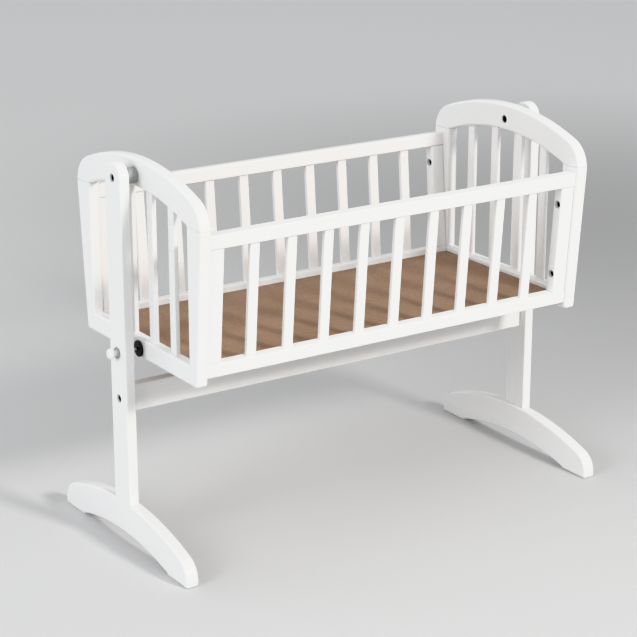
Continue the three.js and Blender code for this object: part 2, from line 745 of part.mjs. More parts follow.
function leaning(pieces, turn) {
  const lean = new THREE.Group();
  lean.position.set(0, -SIDE_MIDDLE_AT_BOTTOM, SIDE.bottom);
  lean.rotation.x = LEAN;
  lean.add(...pieces);
  return placed([lean], 0, turn);
}

function standPieces(side) {
  return [
    node(`${side}_upright`, upright(side), 'whiteLacquer'),
    node(`${side}_foot`, foot(), 'whiteLacquer'),
    node(`${side}_pivot_bolt`, pivotBolt(), 'blackSteel'),
    node(`${side}_pivot_spacer`, pivotSpacer(), 'greyPlastic'),
    node(`${side}_stretcher_bolt`, stretcherBolt(), 'blackSteel'),
  ];
}

const swingingCrib = new THREE.Group();
swingingCrib.position.x = LOCK.knobReach / 2;
swingingCrib.add(
  placed([...standPieces('left'), ...lockPieces()], -STAND_MIDDLE, Math.PI),
  placed(standPieces('right'), STAND_MIDDLE, 0),
  node('stretcher', stretcher(), 'whiteLacquer'),
  placed([...endPieces('left'), lockReceiver()], -END_MIDDLE, Math.PI),
  placed(endPieces('right'), END_MIDDLE, 0),
  leaning(sidePieces('front'), 0),
  leaning(sidePieces('back'), Math.PI),
  ...basePieces(),
);

export default swingingCrib;
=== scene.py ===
# %% [markdown]
# # A baby crib that swings on its stand
#
# This notebook dresses a finished construction model. The model is a fixed frame of plain solids, in
# metres with +Z up, and every piece made here goes where those solids are. A piece that replaces a
# plain solid rides on that solid's body, so that it moves with it: the stand, the crib or the lock.

# %% Load the frame
import json
import math

import bmesh
import bpy
from mathutils import Matrix, Vector


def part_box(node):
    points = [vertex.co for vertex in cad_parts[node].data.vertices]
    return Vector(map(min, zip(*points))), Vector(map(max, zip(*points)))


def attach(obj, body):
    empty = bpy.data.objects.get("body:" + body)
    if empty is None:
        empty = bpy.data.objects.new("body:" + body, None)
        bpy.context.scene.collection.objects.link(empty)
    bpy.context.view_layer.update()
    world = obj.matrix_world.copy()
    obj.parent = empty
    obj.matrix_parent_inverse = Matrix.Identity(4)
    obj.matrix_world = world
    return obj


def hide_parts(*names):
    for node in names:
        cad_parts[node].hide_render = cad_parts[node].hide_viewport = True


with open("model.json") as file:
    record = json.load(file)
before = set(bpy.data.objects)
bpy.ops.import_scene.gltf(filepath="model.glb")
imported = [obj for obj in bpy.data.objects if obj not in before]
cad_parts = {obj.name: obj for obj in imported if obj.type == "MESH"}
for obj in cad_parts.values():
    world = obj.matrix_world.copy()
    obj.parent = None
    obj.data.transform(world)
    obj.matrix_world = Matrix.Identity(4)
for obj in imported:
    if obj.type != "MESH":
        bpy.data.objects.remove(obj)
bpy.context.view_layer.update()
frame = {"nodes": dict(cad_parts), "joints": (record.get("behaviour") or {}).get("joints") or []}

MM = 0.001
QUARTER = math.pi / 2
nodes = frame["nodes"]

# %% [markdown]
# ## Reading sizes off the frame
#
# A joiner measures the workpiece before cutting. The box of each solid gives its length, width and
# height. What no box tells, such as the radius of an arch, is worked out: how wide an arch is and how
# far it rises fix its circle.

# %% Measure the frame


def low(name):
    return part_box(name)[0]


def high(name):
    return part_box(name)[1]


def middle(name):
    return (low(name) + high(name)) / 2


def size(name):
    return high(name) - low(name)


def arc_radius(half_chord, rise):
    """Radius of an arc that rises so far over half its chord."""
    return (half_chord**2 + rise**2) / (2 * rise)


CRIB_X = middle("base_board").x
END_THICKNESS = size("right_end_bottom_rail").x
LEFT_END_X = middle("left_end_bottom_rail").x
RIGHT_END_X = middle("right_end_bottom_rail").x
LEFT_STAND_X = middle("left_upright").x
RIGHT_STAND_X = middle("right_upright").x
PIVOT = Vector(frame["joints"][0]["pos_m"])
LOCK_HEIGHT = middle("lock_pin").z
STRETCHER_HEIGHT = middle("stretcher").z
print("ends at", round(LEFT_END_X, 4), round(RIGHT_END_X, 4), "pivot height", PIVOT.z)

# %% [markdown]
# ## Node trees written as arithmetic
#
# Both Geometry Nodes and shaders do their sums in Math nodes, one node for each sign in a formula. A
# small class wraps a socket and gives it Python's operators, so that a formula reads as a formula. The
# reflected forms are there too, because 1 - x asks the number first and the socket second.

# %% A value in a node tree


class Value:
    """A socket of a node tree that does sums."""

    def __init__(self, maker, socket):
        self.maker = maker
        self.socket = socket

    def also(self, output):
        """Another output of the same node."""
        return Value(self.maker, self.socket.node.outputs[output])

    def math(self, operation, *others):
        return self.maker.node("ShaderNodeMath", {"operation": operation}, [self, *others])

    def reflected(self, operation, other):
        return self.maker.node("ShaderNodeMath", {"operation": operation}, [other, self])

    def __add__(self, other):
        return self.math("ADD", other)

    def __sub__(self, other):
        return self.math("SUBTRACT", other)

    def __rsub__(self, other):
        return self.reflected("SUBTRACT", other)

    def __mul__(self, other):
        return self.math("MULTIPLY", other)

    def __truediv__(self, other):
        return self.math("DIVIDE", other)

    def __rtruediv__(self, other):
        return self.reflected("DIVIDE", other)

    def __neg__(self):
        return self.math("MULTIPLY", -1.0)

    __radd__ = __add__
    __rmul__ = __mul__

    def root(self):
        return self.math("SQRT")

    def cos(self):
        return self.math("COSINE")

    def sin(self):
        return self.math("SINE")


class Maker:
    """Adds nodes to one tree."""

    def __init__(self, tree):
        self.tree = tree

    def node(self, kind, settings=None, sockets=(), output=0):
        """Adds a node: its settings, then a value or link for each socket, by name or in order."""
        made = self.tree.nodes.new(kind)
        for name, value in (settings or {}).items():
            if name == "stops":
                self.set_stops(made.color_ramp, value)
            else:
                setattr(made, name, value)
        pairs = sockets.items() if isinstance(sockets, dict) else enumerate(sockets)
        for key, value in pairs:
            for one in value if isinstance(value, list) else [value]:
                if isinstance(one, Value):
                    self.tree.links.new(one.socket, made.inputs[key])
                else:
                    made.inputs[key].default_value = one
        return Value(self, made.outputs[output])

    def set_stops(self, ramp, stops):
        while len(ramp.elements) < len(stops):
            ramp.elements.new(1.0)
        for element, (place, colour) in zip(ramp.elements, stops):
            element.position = place
            element.color = (*colour, 1.0)

    def point(self, x=0.0, y=0.0, z=0.0):
        return self.node("ShaderNodeCombineXYZ", sockets=[x, y, z])

    def coordinate(self, vector, axis):
        return self.node("ShaderNodeSeparateXYZ", sockets=[vector], output="XYZ".index(axis))


print("a Value can add, subtract, multiply and divide, from either side")

# %% [markdown]
# ## Trees that make geometry
#
# A Geometry Nodes tree gets its sizes through named inputs, as a jig gets its settings. Python adds
# the tree's interface, hangs the tree on a mesh that is empty or holds only points, and sets each input
# by the identifier that Blender gave its socket. Then it takes the evaluated result as a plain mesh,
# and the modifier is thrown away: what rides on the crib is ordinary faces.

# %% Build and run a geometry tree


class Jig(Maker):
    """A Geometry Nodes tree with named inputs, which ends in one mesh of one material."""

    def __init__(self, name):
        super().__init__(bpy.data.node_groups.new(name, "GeometryNodeTree"))
        self.tree.interface.new_socket("Geometry", in_out="INPUT", socket_type="NodeSocketGeometry")
        self.tree.interface.new_socket("Geometry", in_out="OUTPUT", socket_type="NodeSocketGeometry")
        self.entry = self.tree.nodes.new("NodeGroupInput")
        self.exit = self.tree.nodes.new("NodeGroupOutput")

    def size(self, name, kind="NodeSocketFloat"):
        """A named input."""
        self.tree.interface.new_socket(name, in_out="INPUT", socket_type=kind)
        return Value(self, self.entry.outputs[name])

    def sizes(self, names):
        """Several named inputs, from their names in one line of text."""
        return [self.size(name) for name in names.split()]

    def incoming(self):
        return Value(self, self.entry.outputs["Geometry"])

    def join(self, *parts):
        return self.node("GeometryNodeJoinGeometry", sockets={"Geometry": list(parts)[::-1]})

    def move(self, geometry, **sockets):
        named = {key.capitalize(): value for key, value in sockets.items()}
        return self.node("GeometryNodeTransform", sockets={"Geometry": geometry, **named})

    def arc(self, centre, radius, start, sweep, points):
        settings = {"mode": "RADIUS"}
        sockets = {"Resolution": points, "Radius": radius, "Start Angle": start, "Sweep Angle": sweep}
        curve = self.node("GeometryNodeCurveArc", settings, sockets)
        return self.move(curve, translation=self.point(*centre))

    def line(self, start, end):
        sockets = {"Start": self.point(*start), "End": self.point(*end)}
        return self.node("GeometryNodeCurvePrimitiveLine", sockets=sockets)

    def filled(self, curve):
        """The flat face inside a closed curve."""
        return self.node("GeometryNodeFillCurve", {"mode": "NGONS"}, {"Curve": curve})

    def raised(self, face, height):
        """The walls and the top that a flat face leaves when it is pulled up."""
        sockets = {"Mesh": face, "Offset": (0, 0, 1), "Offset Scale": height, "Individual": False}
        return self.node("GeometryNodeExtrudeMesh", {"mode": "FACES"}, sockets)

    def flipped(self, mesh):
        return self.node("GeometryNodeFlipFaces", sockets=[mesh])

    def welded(self, mesh, distance):
        """Points closer than a distance become one."""
        sockets = {"Geometry": mesh, "Distance": distance}
        return self.node("GeometryNodeMergeByDistance", sockets=sockets)

    def finish(self, geometry):
        """Realize Instances, Set Material, and out."""
        material = self.size("material", "NodeSocketMaterial")
        real = self.node("GeometryNodeRealizeInstances", sockets=[geometry])
        named = self.node("GeometryNodeSetMaterial", sockets={"Geometry": real, "Material": material})
        self.tree.links.new(named.socket, self.exit.inputs["Geometry"])

    def run(self, settings, points=(), bevel=None):
        """The mesh this tree makes with these settings, with its corners rounded if bevel says so."""
        mesh = bpy.data.meshes.new("jig")
        mesh.from_pydata([tuple(p) for p in points], [], [])
        blank = bpy.data.objects.new("jig", mesh)
        bpy.context.scene.collection.objects.link(blank)
        modifier = blank.modifiers.new("jig", "NODES")
        modifier.node_group = self.tree
        for item in self.tree.interface.items_tree:
            if item.in_out == "INPUT" and item.name in settings:
                modifier[item.identifier] = settings[item.name]
        if bevel:
            add_bevel(blank, *bevel)
        return taken_from(blank)


CORNER_ANGLE = math.radians(50)


def add_bevel(obj, width, segments, limit="WEIGHT"):
    """Rounds the edges that the jig marked, or with limit "ANGLE" all the sharp ones."""
    bevel = obj.modifiers.new("rounding", "BEVEL")
    bevel.width = width
    bevel.segments = segments
    bevel.limit_method = limit
    bevel.angle_limit = CORNER_ANGLE
    bevel.use_clamp_overlap = False
    bevel.loop_slide = False
    bevel.miter_outer = "MITER_SHARP"


def taken_from(obj):
    """The evaluated mesh of an object, which is then removed."""
    graph = bpy.context.evaluated_depsgraph_get()
    graph.update()
    mesh = bpy.data.meshes.new_from_object(obj.evaluated_get(graph))
    old = obj.data
    bpy.data.objects.remove(obj)
    if old.users == 0:
        bpy.data.meshes.remove(old)
    return mesh


print("geometry trees can be built")

# %% [markdown]
# ## Sawing, drilling and rounding
#
# Straight boards are a box whose long edges are rounded over, and whose end grain only has its sharp
# arris taken off. Sawing a shaped panel into boards is a bisection by a plane, with the cut closed and
# its arris broken. Holes and mortises are cut by a tool mesh with a Boolean, as a drill bit or chisel
# would cut them.

# %% Woodworking on meshes

ARRIS = 0.4 * MM
SAME_PLACE = 0.001 * MM  # points this close are one point
PARALLEL = 0.99  # cosine past which two directions count as one
AROUND = 64  # steps of a full turn on the lathe


def mesh_from(bm):
    mesh = bpy.data.meshes.new("work")
    bm.to_mesh(mesh)
    bm.free()
    return mesh


def board(start, end, along, rounding, segments=5):
    """A board between two corners, its edges along one axis rounded over."""
    bm = bmesh.new()
    bmesh.ops.create_cube(bm, size=1.0)
    start, end = Vector(start), Vector(end)
    span = end - start
    bm.transform(Matrix.Translation((start + end) / 2) @ Matrix.Diagonal((*span, 1.0)))
    axis = Vector([1.0 if i == along else 0.0 for i in range(3)])
    runs = {e: (e.verts[1].co - e.verts[0].co).normalized() for e in bm.edges}
    round_over(bm, [e for e, run in runs.items() if abs(run.dot(axis)) > PARALLEL], rounding, segments)
    break_arris(bm, lambda face: abs(face.normal.dot(axis)) > PARALLEL)
    return mesh_from(bm)


def round_over(bm, edges, width, segments):
    bmesh.ops.bevel(bm, geom=edges, offset=width, segments=segments, profile=0.5, affect="EDGES")


def break_arris(bm, is_cut):
    """Takes the sharp edge off all round the faces that is_cut picks."""
    bm.normal_update()
    edges = [e for e in bm.edges if sum(is_cut(f) for f in e.link_faces) == 1]
    round_over(bm, edges, ARRIS, 2)


def sawn(mesh, *cuts):
    """The part of a mesh behind every cut: a point on the plane and the direction of the waste."""
    bm = bmesh.new()
    bm.from_mesh(mesh)
    bmesh.ops.triangulate(bm, faces=[f for f in bm.faces if len(f.verts) > 4])
    for point, normal in cuts:
        everything = bm.verts[:] + bm.edges[:] + bm.faces[:]
        bmesh.ops.bisect_plane(bm, geom=everything, plane_co=point, plane_no=normal, clear_outer=True)
        rim = [e for e in bm.edges if e.is_boundary]
        if rim:
            bmesh.ops.holes_fill(bm, edges=rim, sides=0)
    bmesh.ops.recalc_face_normals(bm, faces=bm.faces)
    planes = [(Vector(point), Vector(normal)) for point, normal in cuts]

    def is_cut(face):
        return any(all(abs((v.co - p).dot(n)) < SAME_PLACE for v in face.verts) for p, n in planes)

    break_arris(bm, is_cut)
    return mesh_from(bm)


def carved(mesh, *tools):
    """A mesh with each tool mesh cut out of it."""
    block = bpy.data.objects.new("block", mesh)
    bpy.context.scene.collection.objects.link(block)
    helpers = []
    for tool in tools:
        helper = bpy.data.objects.new("tool", tool)
        bpy.context.scene.collection.objects.link(helper)
        cut = block.modifiers.new("cut", "BOOLEAN")
        cut.operation = "DIFFERENCE"
        cut.solver = "EXACT"
        cut.object = helper
        helpers.append(helper)
    result = taken_from(block)
    for helper in helpers:
        bpy.data.objects.remove(helper)
    return result


def turned(profile, place, direction=(1, 0, 0)):
    """A turned piece: (distance along the axis, radius) pairs spun round an axis through a place."""
    bm = bmesh.new()
    verts = [bm.verts.new((0.0, radius, along)) for along, radius in profile]
    edges = [bm.edges.new(pair) for pair in zip(verts, verts[1:])]
    spin = {"cent": (0, 0, 0), "axis": (0, 0, 1), "angle": 2 * math.pi, "steps": AROUND}
    bmesh.ops.spin(bm, geom=verts + edges, **spin)
    bmesh.ops.remove_doubles(bm, verts=bm.verts, dist=SAME_PLACE)
    bmesh.ops.recalc_face_normals(bm, faces=bm.faces)
    turn = Vector((0, 0, 1)).rotation_difference(Vector(direction).normalized()).to_matrix().to_4x4()
    bm.transform(Matrix.Translation(place) @ turn)
    return mesh_from(bm)


def together(*meshes):
    """Several separate meshes as one."""
    bm = bmesh.new()
    for mesh in meshes:
        bm.from_mesh(mesh)
    return mesh_from(bm)


def moved(mesh, matrix):
    """A copy of a mesh in another place, still facing outwards if the matrix mirrors it."""
    copy = mesh.copy()
    copy.transform(matrix)
    if matrix.determinant() < 0:
        copy.flip_normals()
    return copy


def shift(x=0.0, y=0.0, z=0.0):
    return Matrix.Translation((x, y, z))


HALF_TURN = Matrix.Rotation(math.pi, 4, "Z")
print("arris", ARRIS / MM, "mm")

# %% [markdown]
# ## White lacquer
#
# The crib is beech or birch under satin white lacquer. Up close such a surface isn't flat: the grain
# still shows through as faint long ripples, the spray leaves a fine orange peel, and the gloss drifts a
# little from board to board. Grain runs along a board, so the same recipe is mixed three times, once for
# each direction that a board can lie in.

# %% Lacquer in three grain directions


class Finish(Maker):
    """A material's node tree, with one shader at its end."""

    def __init__(self, name):
        self.material = bpy.data.materials.new(name)
        self.material.use_nodes = True
        super().__init__(self.material.node_tree)
        self.shader = self.tree.nodes["Principled BSDF"]
        self.place = self.node("ShaderNodeTexCoord", output=3)

    def set(self, **values):
        for name, value in values.items():
            socket = self.shader.inputs[name.replace("_", " ").title().replace("Ior", "IOR")]
            if isinstance(value, Value):
                self.tree.links.new(value.socket, socket)
            else:
                socket.default_value = value

    def noise(self, scale, stretch=(1, 1, 1), detail=3.0, roughness=0.5):
        """Noise with features of about 1/scale metres. A small factor in stretch draws it out there."""
        spread = self.node("ShaderNodeMapping", sockets={"Vector": self.place, "Scale": stretch})
        sockets = {"Vector": spread, "Scale": scale, "Detail": detail, "Roughness": roughness}
        return self.node("ShaderNodeTexNoise", sockets=sockets)

    def ramp(self, factor, *stops):
        return self.node("ShaderNodeValToRGB", {"stops": stops}, [factor])

    def between(self, factor, a, b, blend="MIX"):
        """Mixes two colours."""
        settings = {"data_type": "RGBA", "blend_type": blend}
        return self.node("ShaderNodeMix", settings, {0: factor, 6: a, 7: b}, output=2)

    def bump(self, height, strength, distance):
        sockets = {"Strength": strength, "Distance": distance, "Height": height}
        return self.node("ShaderNodeBump", sockets=sockets)


LACQUER_WARM = (0.875, 0.872, 0.858, 1)
LACQUER_COOL = (0.845, 0.850, 0.856, 1)
ALONG_THE_GRAIN = 0.04


def lacquer(axis):
    """Satin white lacquer over wood whose grain runs along one axis."""
    finish = Finish(f"white_lacquer_grain_{'xyz'[axis]}")
    along = tuple(ALONG_THE_GRAIN if i == axis else 1.0 for i in range(3))
    drift = finish.noise(6.0, detail=2.0)
    grain = finish.noise(260.0, along, detail=4.0, roughness=0.6)
    peel = finish.noise(900.0, detail=1.0)
    tint = finish.between(drift, LACQUER_COOL, LACQUER_WARM)
    shade = finish.ramp(grain, (0.3, (0.975, 0.973, 0.968)), (0.7, (1.0, 1.0, 1.0)))
    height = grain * 0.7 + peel * 0.3
    finish.set(
        base_color=finish.between(1.0, tint, shade, "MULTIPLY"),
        roughness=0.33 + drift * 0.08 + grain * 0.06,
        normal=finish.bump(height, strength=0.16, distance=0.15 * MM),
        coat_weight=0.18,
        coat_roughness=0.22,
        ior=1.48,
    )
    return finish.material


LACQUER_X, LACQUER_Y, LACQUER_Z = [lacquer(axis) for axis in range(3)]
print("mixed", LACQUER_X.name, LACQUER_Y.name, LACQUER_Z.name)

# %% [markdown]
# ## Fibreboard, steel and plastic
#
# The base is bare hardboard: pressed wood fibre, tan-brown, with lighter and darker flecks and a dull
# skin. The bolts are blackened and the lock's pin is zinc-plated. The pivot's spacers and the bush and
# receiver of the lock are grey and black plastic with a fine moulded grain. On the bush that grey is
# darker than the part itself, a painted shade round the knob's neck.

# %% Other finishes

FIBRE_STOPS = [
    (0.28, (0.246, 0.152, 0.098)),
    (0.5, (0.338, 0.221, 0.148)),
    (0.75, (0.424, 0.293, 0.204)),
]


def fibreboard():
    finish = Finish("bare_fibreboard")
    cloud = finish.noise(7.0, (0.6, 1.0, 1.0), detail=3.0)
    fibre = finish.noise(420.0, (0.35, 1.0, 1.0), detail=5.0, roughness=0.7)
    fleck = finish.noise(1300.0, detail=2.0)
    body = finish.ramp(fibre, *FIBRE_STOPS)
    tone = finish.ramp(cloud, (0.32, (0.84, 0.82, 0.80)), (0.66, (1.0, 1.0, 1.0)))
    marks = finish.ramp(fleck, (0.30, (0.72, 0.68, 0.64)), (0.42, (1.0, 1.0, 1.0)))
    toned = finish.between(1.0, body, tone, "MULTIPLY")
    finish.set(
        base_color=finish.between(1.0, toned, marks, "MULTIPLY"),
        roughness=0.62 + fibre * 0.2,
        normal=finish.bump(fibre * 0.6 + fleck * 0.4, strength=0.35, distance=0.2 * MM),
        ior=1.45,
    )
    return finish.material


def metal(name, dark, light, roughness, metallic):
    finish = Finish(name)
    wear = finish.noise(240.0, detail=4.0)
    rings = finish.noise(2400.0, (0.1, 1.0, 1.0), detail=2.0)
    finish.set(
        base_color=finish.between(wear, dark, light),
        roughness=roughness + wear * 0.15 + rings * 0.05,
        normal=finish.bump(rings, strength=0.12, distance=0.05 * MM),
        metallic=metallic,
    )
    return finish.material


def moulded_plastic(name, dark, light):
    finish = Finish(name)
    pebble = finish.noise(2600.0, detail=1.0)
    drift = finish.noise(60.0)
    finish.set(
        base_color=finish.between(drift, dark, light),
        roughness=0.46 + drift * 0.12,
        normal=finish.bump(pebble, strength=0.3, distance=0.05 * MM),
    )
    return finish.material


def grey(value, cast=0.0):
    """A colour that is nearly grey, with a little more or less blue than red."""
    return (value - cast, value, value + cast, 1)


FIBREBOARD = fibreboard()
BLACK_STEEL = metal(
    "blackened_steel", grey(0.012), grey(0.040, -0.001), roughness=0.34, metallic=0.8
)
ZINC_STEEL = metal(
    "zinc_plated_steel", grey(0.50, 0.01), grey(0.66, -0.005), roughness=0.28, metallic=0.95
)
BLACK_PLASTIC = moulded_plastic("moulded_black_plastic", grey(0.016), grey(0.030, -0.001))
# Grey plastic for the spacers. On the lock's bush this grey is also painted shade round the knob's neck.
GREY_PLASTIC_AND_PAINTED_SHADE = moulded_plastic("moulded_grey_plastic", grey(0.35, 0.003), grey(0.40, 0.003))
print("mixed", *[material.name for material in (FIBREBOARD, BLACK_STEEL, ZINC_STEEL)])
print("mixed", *[material.name for material in (BLACK_PLASTIC, GREY_PLASTIC_AND_PAINTED_SHADE)])

# %% [markdown]
# ## Putting a piece on the frame
#
# Every piece is handed over the same way. Its faces are smooth across the rounded edges and break only
# at real corners. Weighted normals keep the flat faces flat, although the roundings beside them are
# smooth. Then the piece rides on its body and stands for the plain solids that it replaces.

# %% Hand over a piece

FLAT_FACE_WEIGHT = 80


def piece(name, mesh, material, body, replaced, corner=32):
    """A finished piece on a body, in place of plain solids. Faces meet sharply past a corner angle."""
    mesh.name = name
    mesh.materials.clear()
    mesh.materials.append(material)
    mesh.polygons.foreach_set("use_smooth", [True] * len(mesh.polygons))
    mesh.polygons.foreach_set("material_index", [0] * len(mesh.polygons))
    mesh.set_sharp_from_angle(angle=math.radians(corner))
    obj = bpy.data.objects.new(name, mesh)
    bpy.context.scene.collection.objects.link(obj)
    normals = obj.modifiers.new("flat faces stay flat", "WEIGHTED_NORMAL")
    normals.keep_sharp = True
    normals.weight = FLAT_FACE_WEIGHT
    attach(obj, body)
    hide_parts(*replaced)


def wooden(name, mesh, material, body, *replaced):
    piece(name, mesh, material, body, replaced)


print("pieces can be handed over")

# %% [markdown]
# ## Slats
#
# Slats repeat, so one jig makes every row: a rounded bar of unit length is set on each point of a line
# and stretched to its own length. Under the arch of an end the slats are cut to a circle, and the drop
# of a circle at a distance x is x * x / (R + root(R * R - x * x)). The same jig with a little clearance
# makes the tool that cuts the mortises.

# %% The slat jig

CLEARANCE = 0.25 * MM
INSERTION = 9 * MM
SLAT_ROUNDING = 2 * MM
NEARLY_STRAIGHT = 100.0  # metres: the arch radius of a row with level tops
SLAT_WIDTH = size("front_side_slat_1").x
SLAT_THICKNESS = size("right_end_slat_1").x


def slat_jig():
    jig = Jig("Row of slats")
    count = jig.size("count", "NodeSocketInt")
    pitch, width, thickness, rounding = jig.sizes("pitch width thickness rounding")
    bottom, top, radius = jig.sizes("bottom top radius")

    section = jig.node("GeometryNodeCurvePrimitiveQuadrilateral", sockets=[width, thickness])
    corners = {"Curve": section, "Radius": rounding, "Count": 4}
    rounded = jig.node("GeometryNodeFilletCurve", {"mode": "POLY"}, corners)
    bar = solid_from(jig, jig.filled(rounded), 1.0)

    first = jig.point(x=(1 - count) * pitch * 0.5, z=bottom)
    steps = {"Count": count, "Start Location": first, "Offset": jig.point(x=pitch)}
    line = jig.node("GeometryNodeMeshLine", {"mode": "OFFSET"}, steps)
    x = jig.coordinate(jig.node("GeometryNodeInputPosition"), "X")
    drop = x * x / (radius + (radius * radius - x * x).root())
    sockets = {"Points": line, "Instance": bar, "Scale": jig.point(1.0, 1.0, top - bottom - drop)}
    jig.finish(jig.node("GeometryNodeInstanceOnPoints", sockets=sockets))
    return jig


def solid_from(jig, face, thickness):
    """Turns a flat face that looks up into a closed solid of that thickness."""
    return jig.welded(jig.join(jig.raised(face, thickness), jig.flipped(face)), SAME_PLACE)


SLAT_JIG = slat_jig()


def slat_row(count, pitch, bottom, top, radius=NEARLY_STRAIGHT, clearance=0.0):
    """A row of slats along X, centred on X = 0, or the tool for its mortises."""
    return SLAT_JIG.run({
        "count": count,
        "pitch": pitch,
        "width": SLAT_WIDTH + 2 * clearance,
        "thickness": SLAT_THICKNESS + 2 * clearance,
        "rounding": SLAT_ROUNDING + clearance,
        "bottom": bottom - clearance,
        "top": top + clearance,
        "radius": radius,
        "material": LACQUER_Z,
    })


def numbered(name, count):
    """The names of the plain slats in a row."""
    return [f"{name}_{i + 1}" for i in range(count)]


print("a slat is", round(SLAT_WIDTH / MM, 1), "by", round(SLAT_THICKNESS / MM, 1), "mm")

# %% [markdown]
# ## Shaped panels
#
# The ends, the feet and the uprights are boards cut to an outline of arcs and straight lines. One way
# of building serves all three: draw the right half of the outline, mirror it, weld the strokes into
# loops, fill them, give the face the thickness of the board and stand it up across the crib. A loop
# inside another one becomes an opening. A Bevel modifier then rounds the edges over, as a router does.

# %% The panel jig

WELD = 0.002 * MM
SAWN_CORNER = 0.9  # radians: a sharper edge than this is rounded over


def panel_jig(name, draw, sizes):
    """A jig for a board with a mirrored outline. It stands in Y and Z, centred on X = 0."""
    jig = Jig(name)
    thickness = jig.size("thickness")
    half = jig.join(*draw(jig, **{key: jig.size(key) for key in sizes}))
    whole = jig.join(half, jig.move(half, scale=(-1, 1, 1)))
    strokes = jig.node("GeometryNodeCurveToMesh", sockets={"Curve": whole})
    loops = jig.node("GeometryNodeMeshToCurve", sockets={"Mesh": jig.welded(strokes, WELD)})
    solid = routed(jig, solid_from(jig, jig.filled(loops), thickness), thickness)
    centred = jig.point(thickness * -0.5)
    jig.finish(jig.move(solid, rotation=(QUARTER, 0, QUARTER), translation=centred))
    return jig


def routed(jig, solid, thickness):
    """Marks the edges round both faces for the router. Corners across the thickness stay as sawn."""
    first = jig.node("GeometryNodeInputMeshEdgeVertices", output=2)
    start, stop = jig.coordinate(first, "Z"), jig.coordinate(first.also(3), "Z")
    flat = (start - stop).math("ABSOLUTE").math("LESS_THAN", thickness * 0.5)
    sharp = jig.node("GeometryNodeInputMeshEdgeAngle").math("GREATER_THAN", SAWN_CORNER)
    settings = {"data_type": "FLOAT", "domain": "EDGE"}
    sockets = {"Geometry": solid, "Name": "bevel_weight_edge", "Value": flat * sharp}
    return jig.node("GeometryNodeStoreNamedAttribute", settings, sockets)


print("panels stand across the crib, in Y and Z")

# %% [markdown]
# ## Arched ends
#
# An end is a frame of four boards that were glued up first and then cut to one outline, so the arch
# flows into the tapered stiles without a step. The corner arc touches both the leaning edge and the
# big arch. Its centre lies on a line parallel to the edge, at the two radii's difference from the
# arch's centre, which makes a quadratic equation. Numbers alone are worked out in Python, and the jig
# gets them as named inputs.

# %% Sizes of an end

LEAN_SLOPE = 26 / 320
LEAN = math.atan(LEAN_SLOPE)
END_ROUNDING = 6 * MM
JOINT_GAP = 0.3 * MM
ARCH_RADIUS = 600 * MM
CORNER_RADIUS = 63 * MM
FOOT_CORNER = 7 * MM
HALF_BOTTOM = 230 * MM
UNDERSIDE = 756 * MM

END_BOTTOM = low("right_end_bottom_rail").z
RAIL_TOP = high("right_end_bottom_rail").z
ARCH_TOP = high("right_end_arch_rail").z
STILE_TOP = low("right_end_arch_rail").z - JOINT_GAP / 2
OPENING = -high("right_end_front_stile").y - JOINT_GAP / 2
UNDERSIDE_RADIUS = arc_radius(OPENING, UNDERSIDE - STILE_TOP)


def half_width(z):
    """Half the width of an end on its leaning edge."""
    return HALF_BOTTOM + (z - END_BOTTOM) * LEAN_SLOPE


def corner_centre():
    """Where the centre of the corner arc lies, and the angle at which it meets the arch."""
    arch_centre = ARCH_TOP - ARCH_RADIUS
    inner = half_width(STILE_TOP) - CORNER_RADIUS / math.cos(LEAN)
    rise = STILE_TOP - arch_centre
    a = 1 + LEAN_SLOPE**2
    b = inner * LEAN_SLOPE + rise
    c = inner**2 + rise**2 - (ARCH_RADIUS - CORNER_RADIUS) ** 2
    step = (math.sqrt(b * b - a * c) - b) / a
    y, z = inner + step * LEAN_SLOPE, STILE_TOP + step
    return y, z, math.atan2(z - arch_centre, y)


CORNER_Y, CORNER_Z, CORNER_END = corner_centre()
print("opening", round(2 * OPENING, 4), "wide")
print("corner arc ends at", round(math.degrees(CORNER_END), 1), "degrees")

# %% [markdown]
# ## Drawing the end
#
# The jig draws the right half of an end with eight strokes, five for the outline and three for the
# opening that the slats will stand in. Along each of the two, a stroke starts where the one before it
# stops, so the weld joins the strokes and their mirror image into two closed loops.

# %% The end jig

END_SIZES = {
    "bottom": END_BOTTOM,
    "half_bottom": HALF_BOTTOM,
    "foot": FOOT_CORNER,
    "lean": LEAN,
    "corner": CORNER_RADIUS,
    "corner_y": CORNER_Y,
    "corner_z": CORNER_Z,
    "meets": CORNER_END,
    "arch": ARCH_RADIUS,
    "top": ARCH_TOP,
    "opening": OPENING,
    "rail": RAIL_TOP,
    "joint": STILE_TOP,
    "under": UNDERSIDE_RADIUS,
    "crown": UNDERSIDE,
}


def draw_end(
    jig, bottom, half_bottom, foot, lean, corner, corner_y, corner_z, meets, arch, top,
    opening, rail, joint, under, crown,
):
    """The outline from the middle of the bottom up to the top of the arch, then the opening."""
    foot_y, foot_z = half_bottom - foot, bottom + foot
    edge_start = (foot_y + foot * lean.cos(), foot_z - foot * lean.sin())
    edge_end = (corner_y + corner * lean.cos(), corner_z - corner * lean.sin())
    spring = ((joint - crown + under) / opening).math("ARCTANGENT")
    return [
        jig.line((0.0, bottom), (foot_y, bottom)),
        jig.arc((foot_y, foot_z), foot, -QUARTER, QUARTER - lean, 6),
        jig.line(edge_start, edge_end),
        jig.arc((corner_y, corner_z), corner, -lean, meets + lean, 24),
        jig.arc((0.0, top - arch), arch, meets, QUARTER - meets, 40),
        jig.line((0.0, rail), (opening, rail)),
        jig.line((opening, rail), (opening, joint)),
        jig.arc((0.0, crown - under), under, spring, QUARTER - spring, 28),
    ]


END_JIG = panel_jig("Arched end", draw_end, END_SIZES)
end_settings = {**END_SIZES, "thickness": END_THICKNESS, "material": LACQUER_Y}
end_panel = END_JIG.run(end_settings, bevel=(END_ROUNDING, 6))
print("one end panel has", len(end_panel.polygons), "faces")

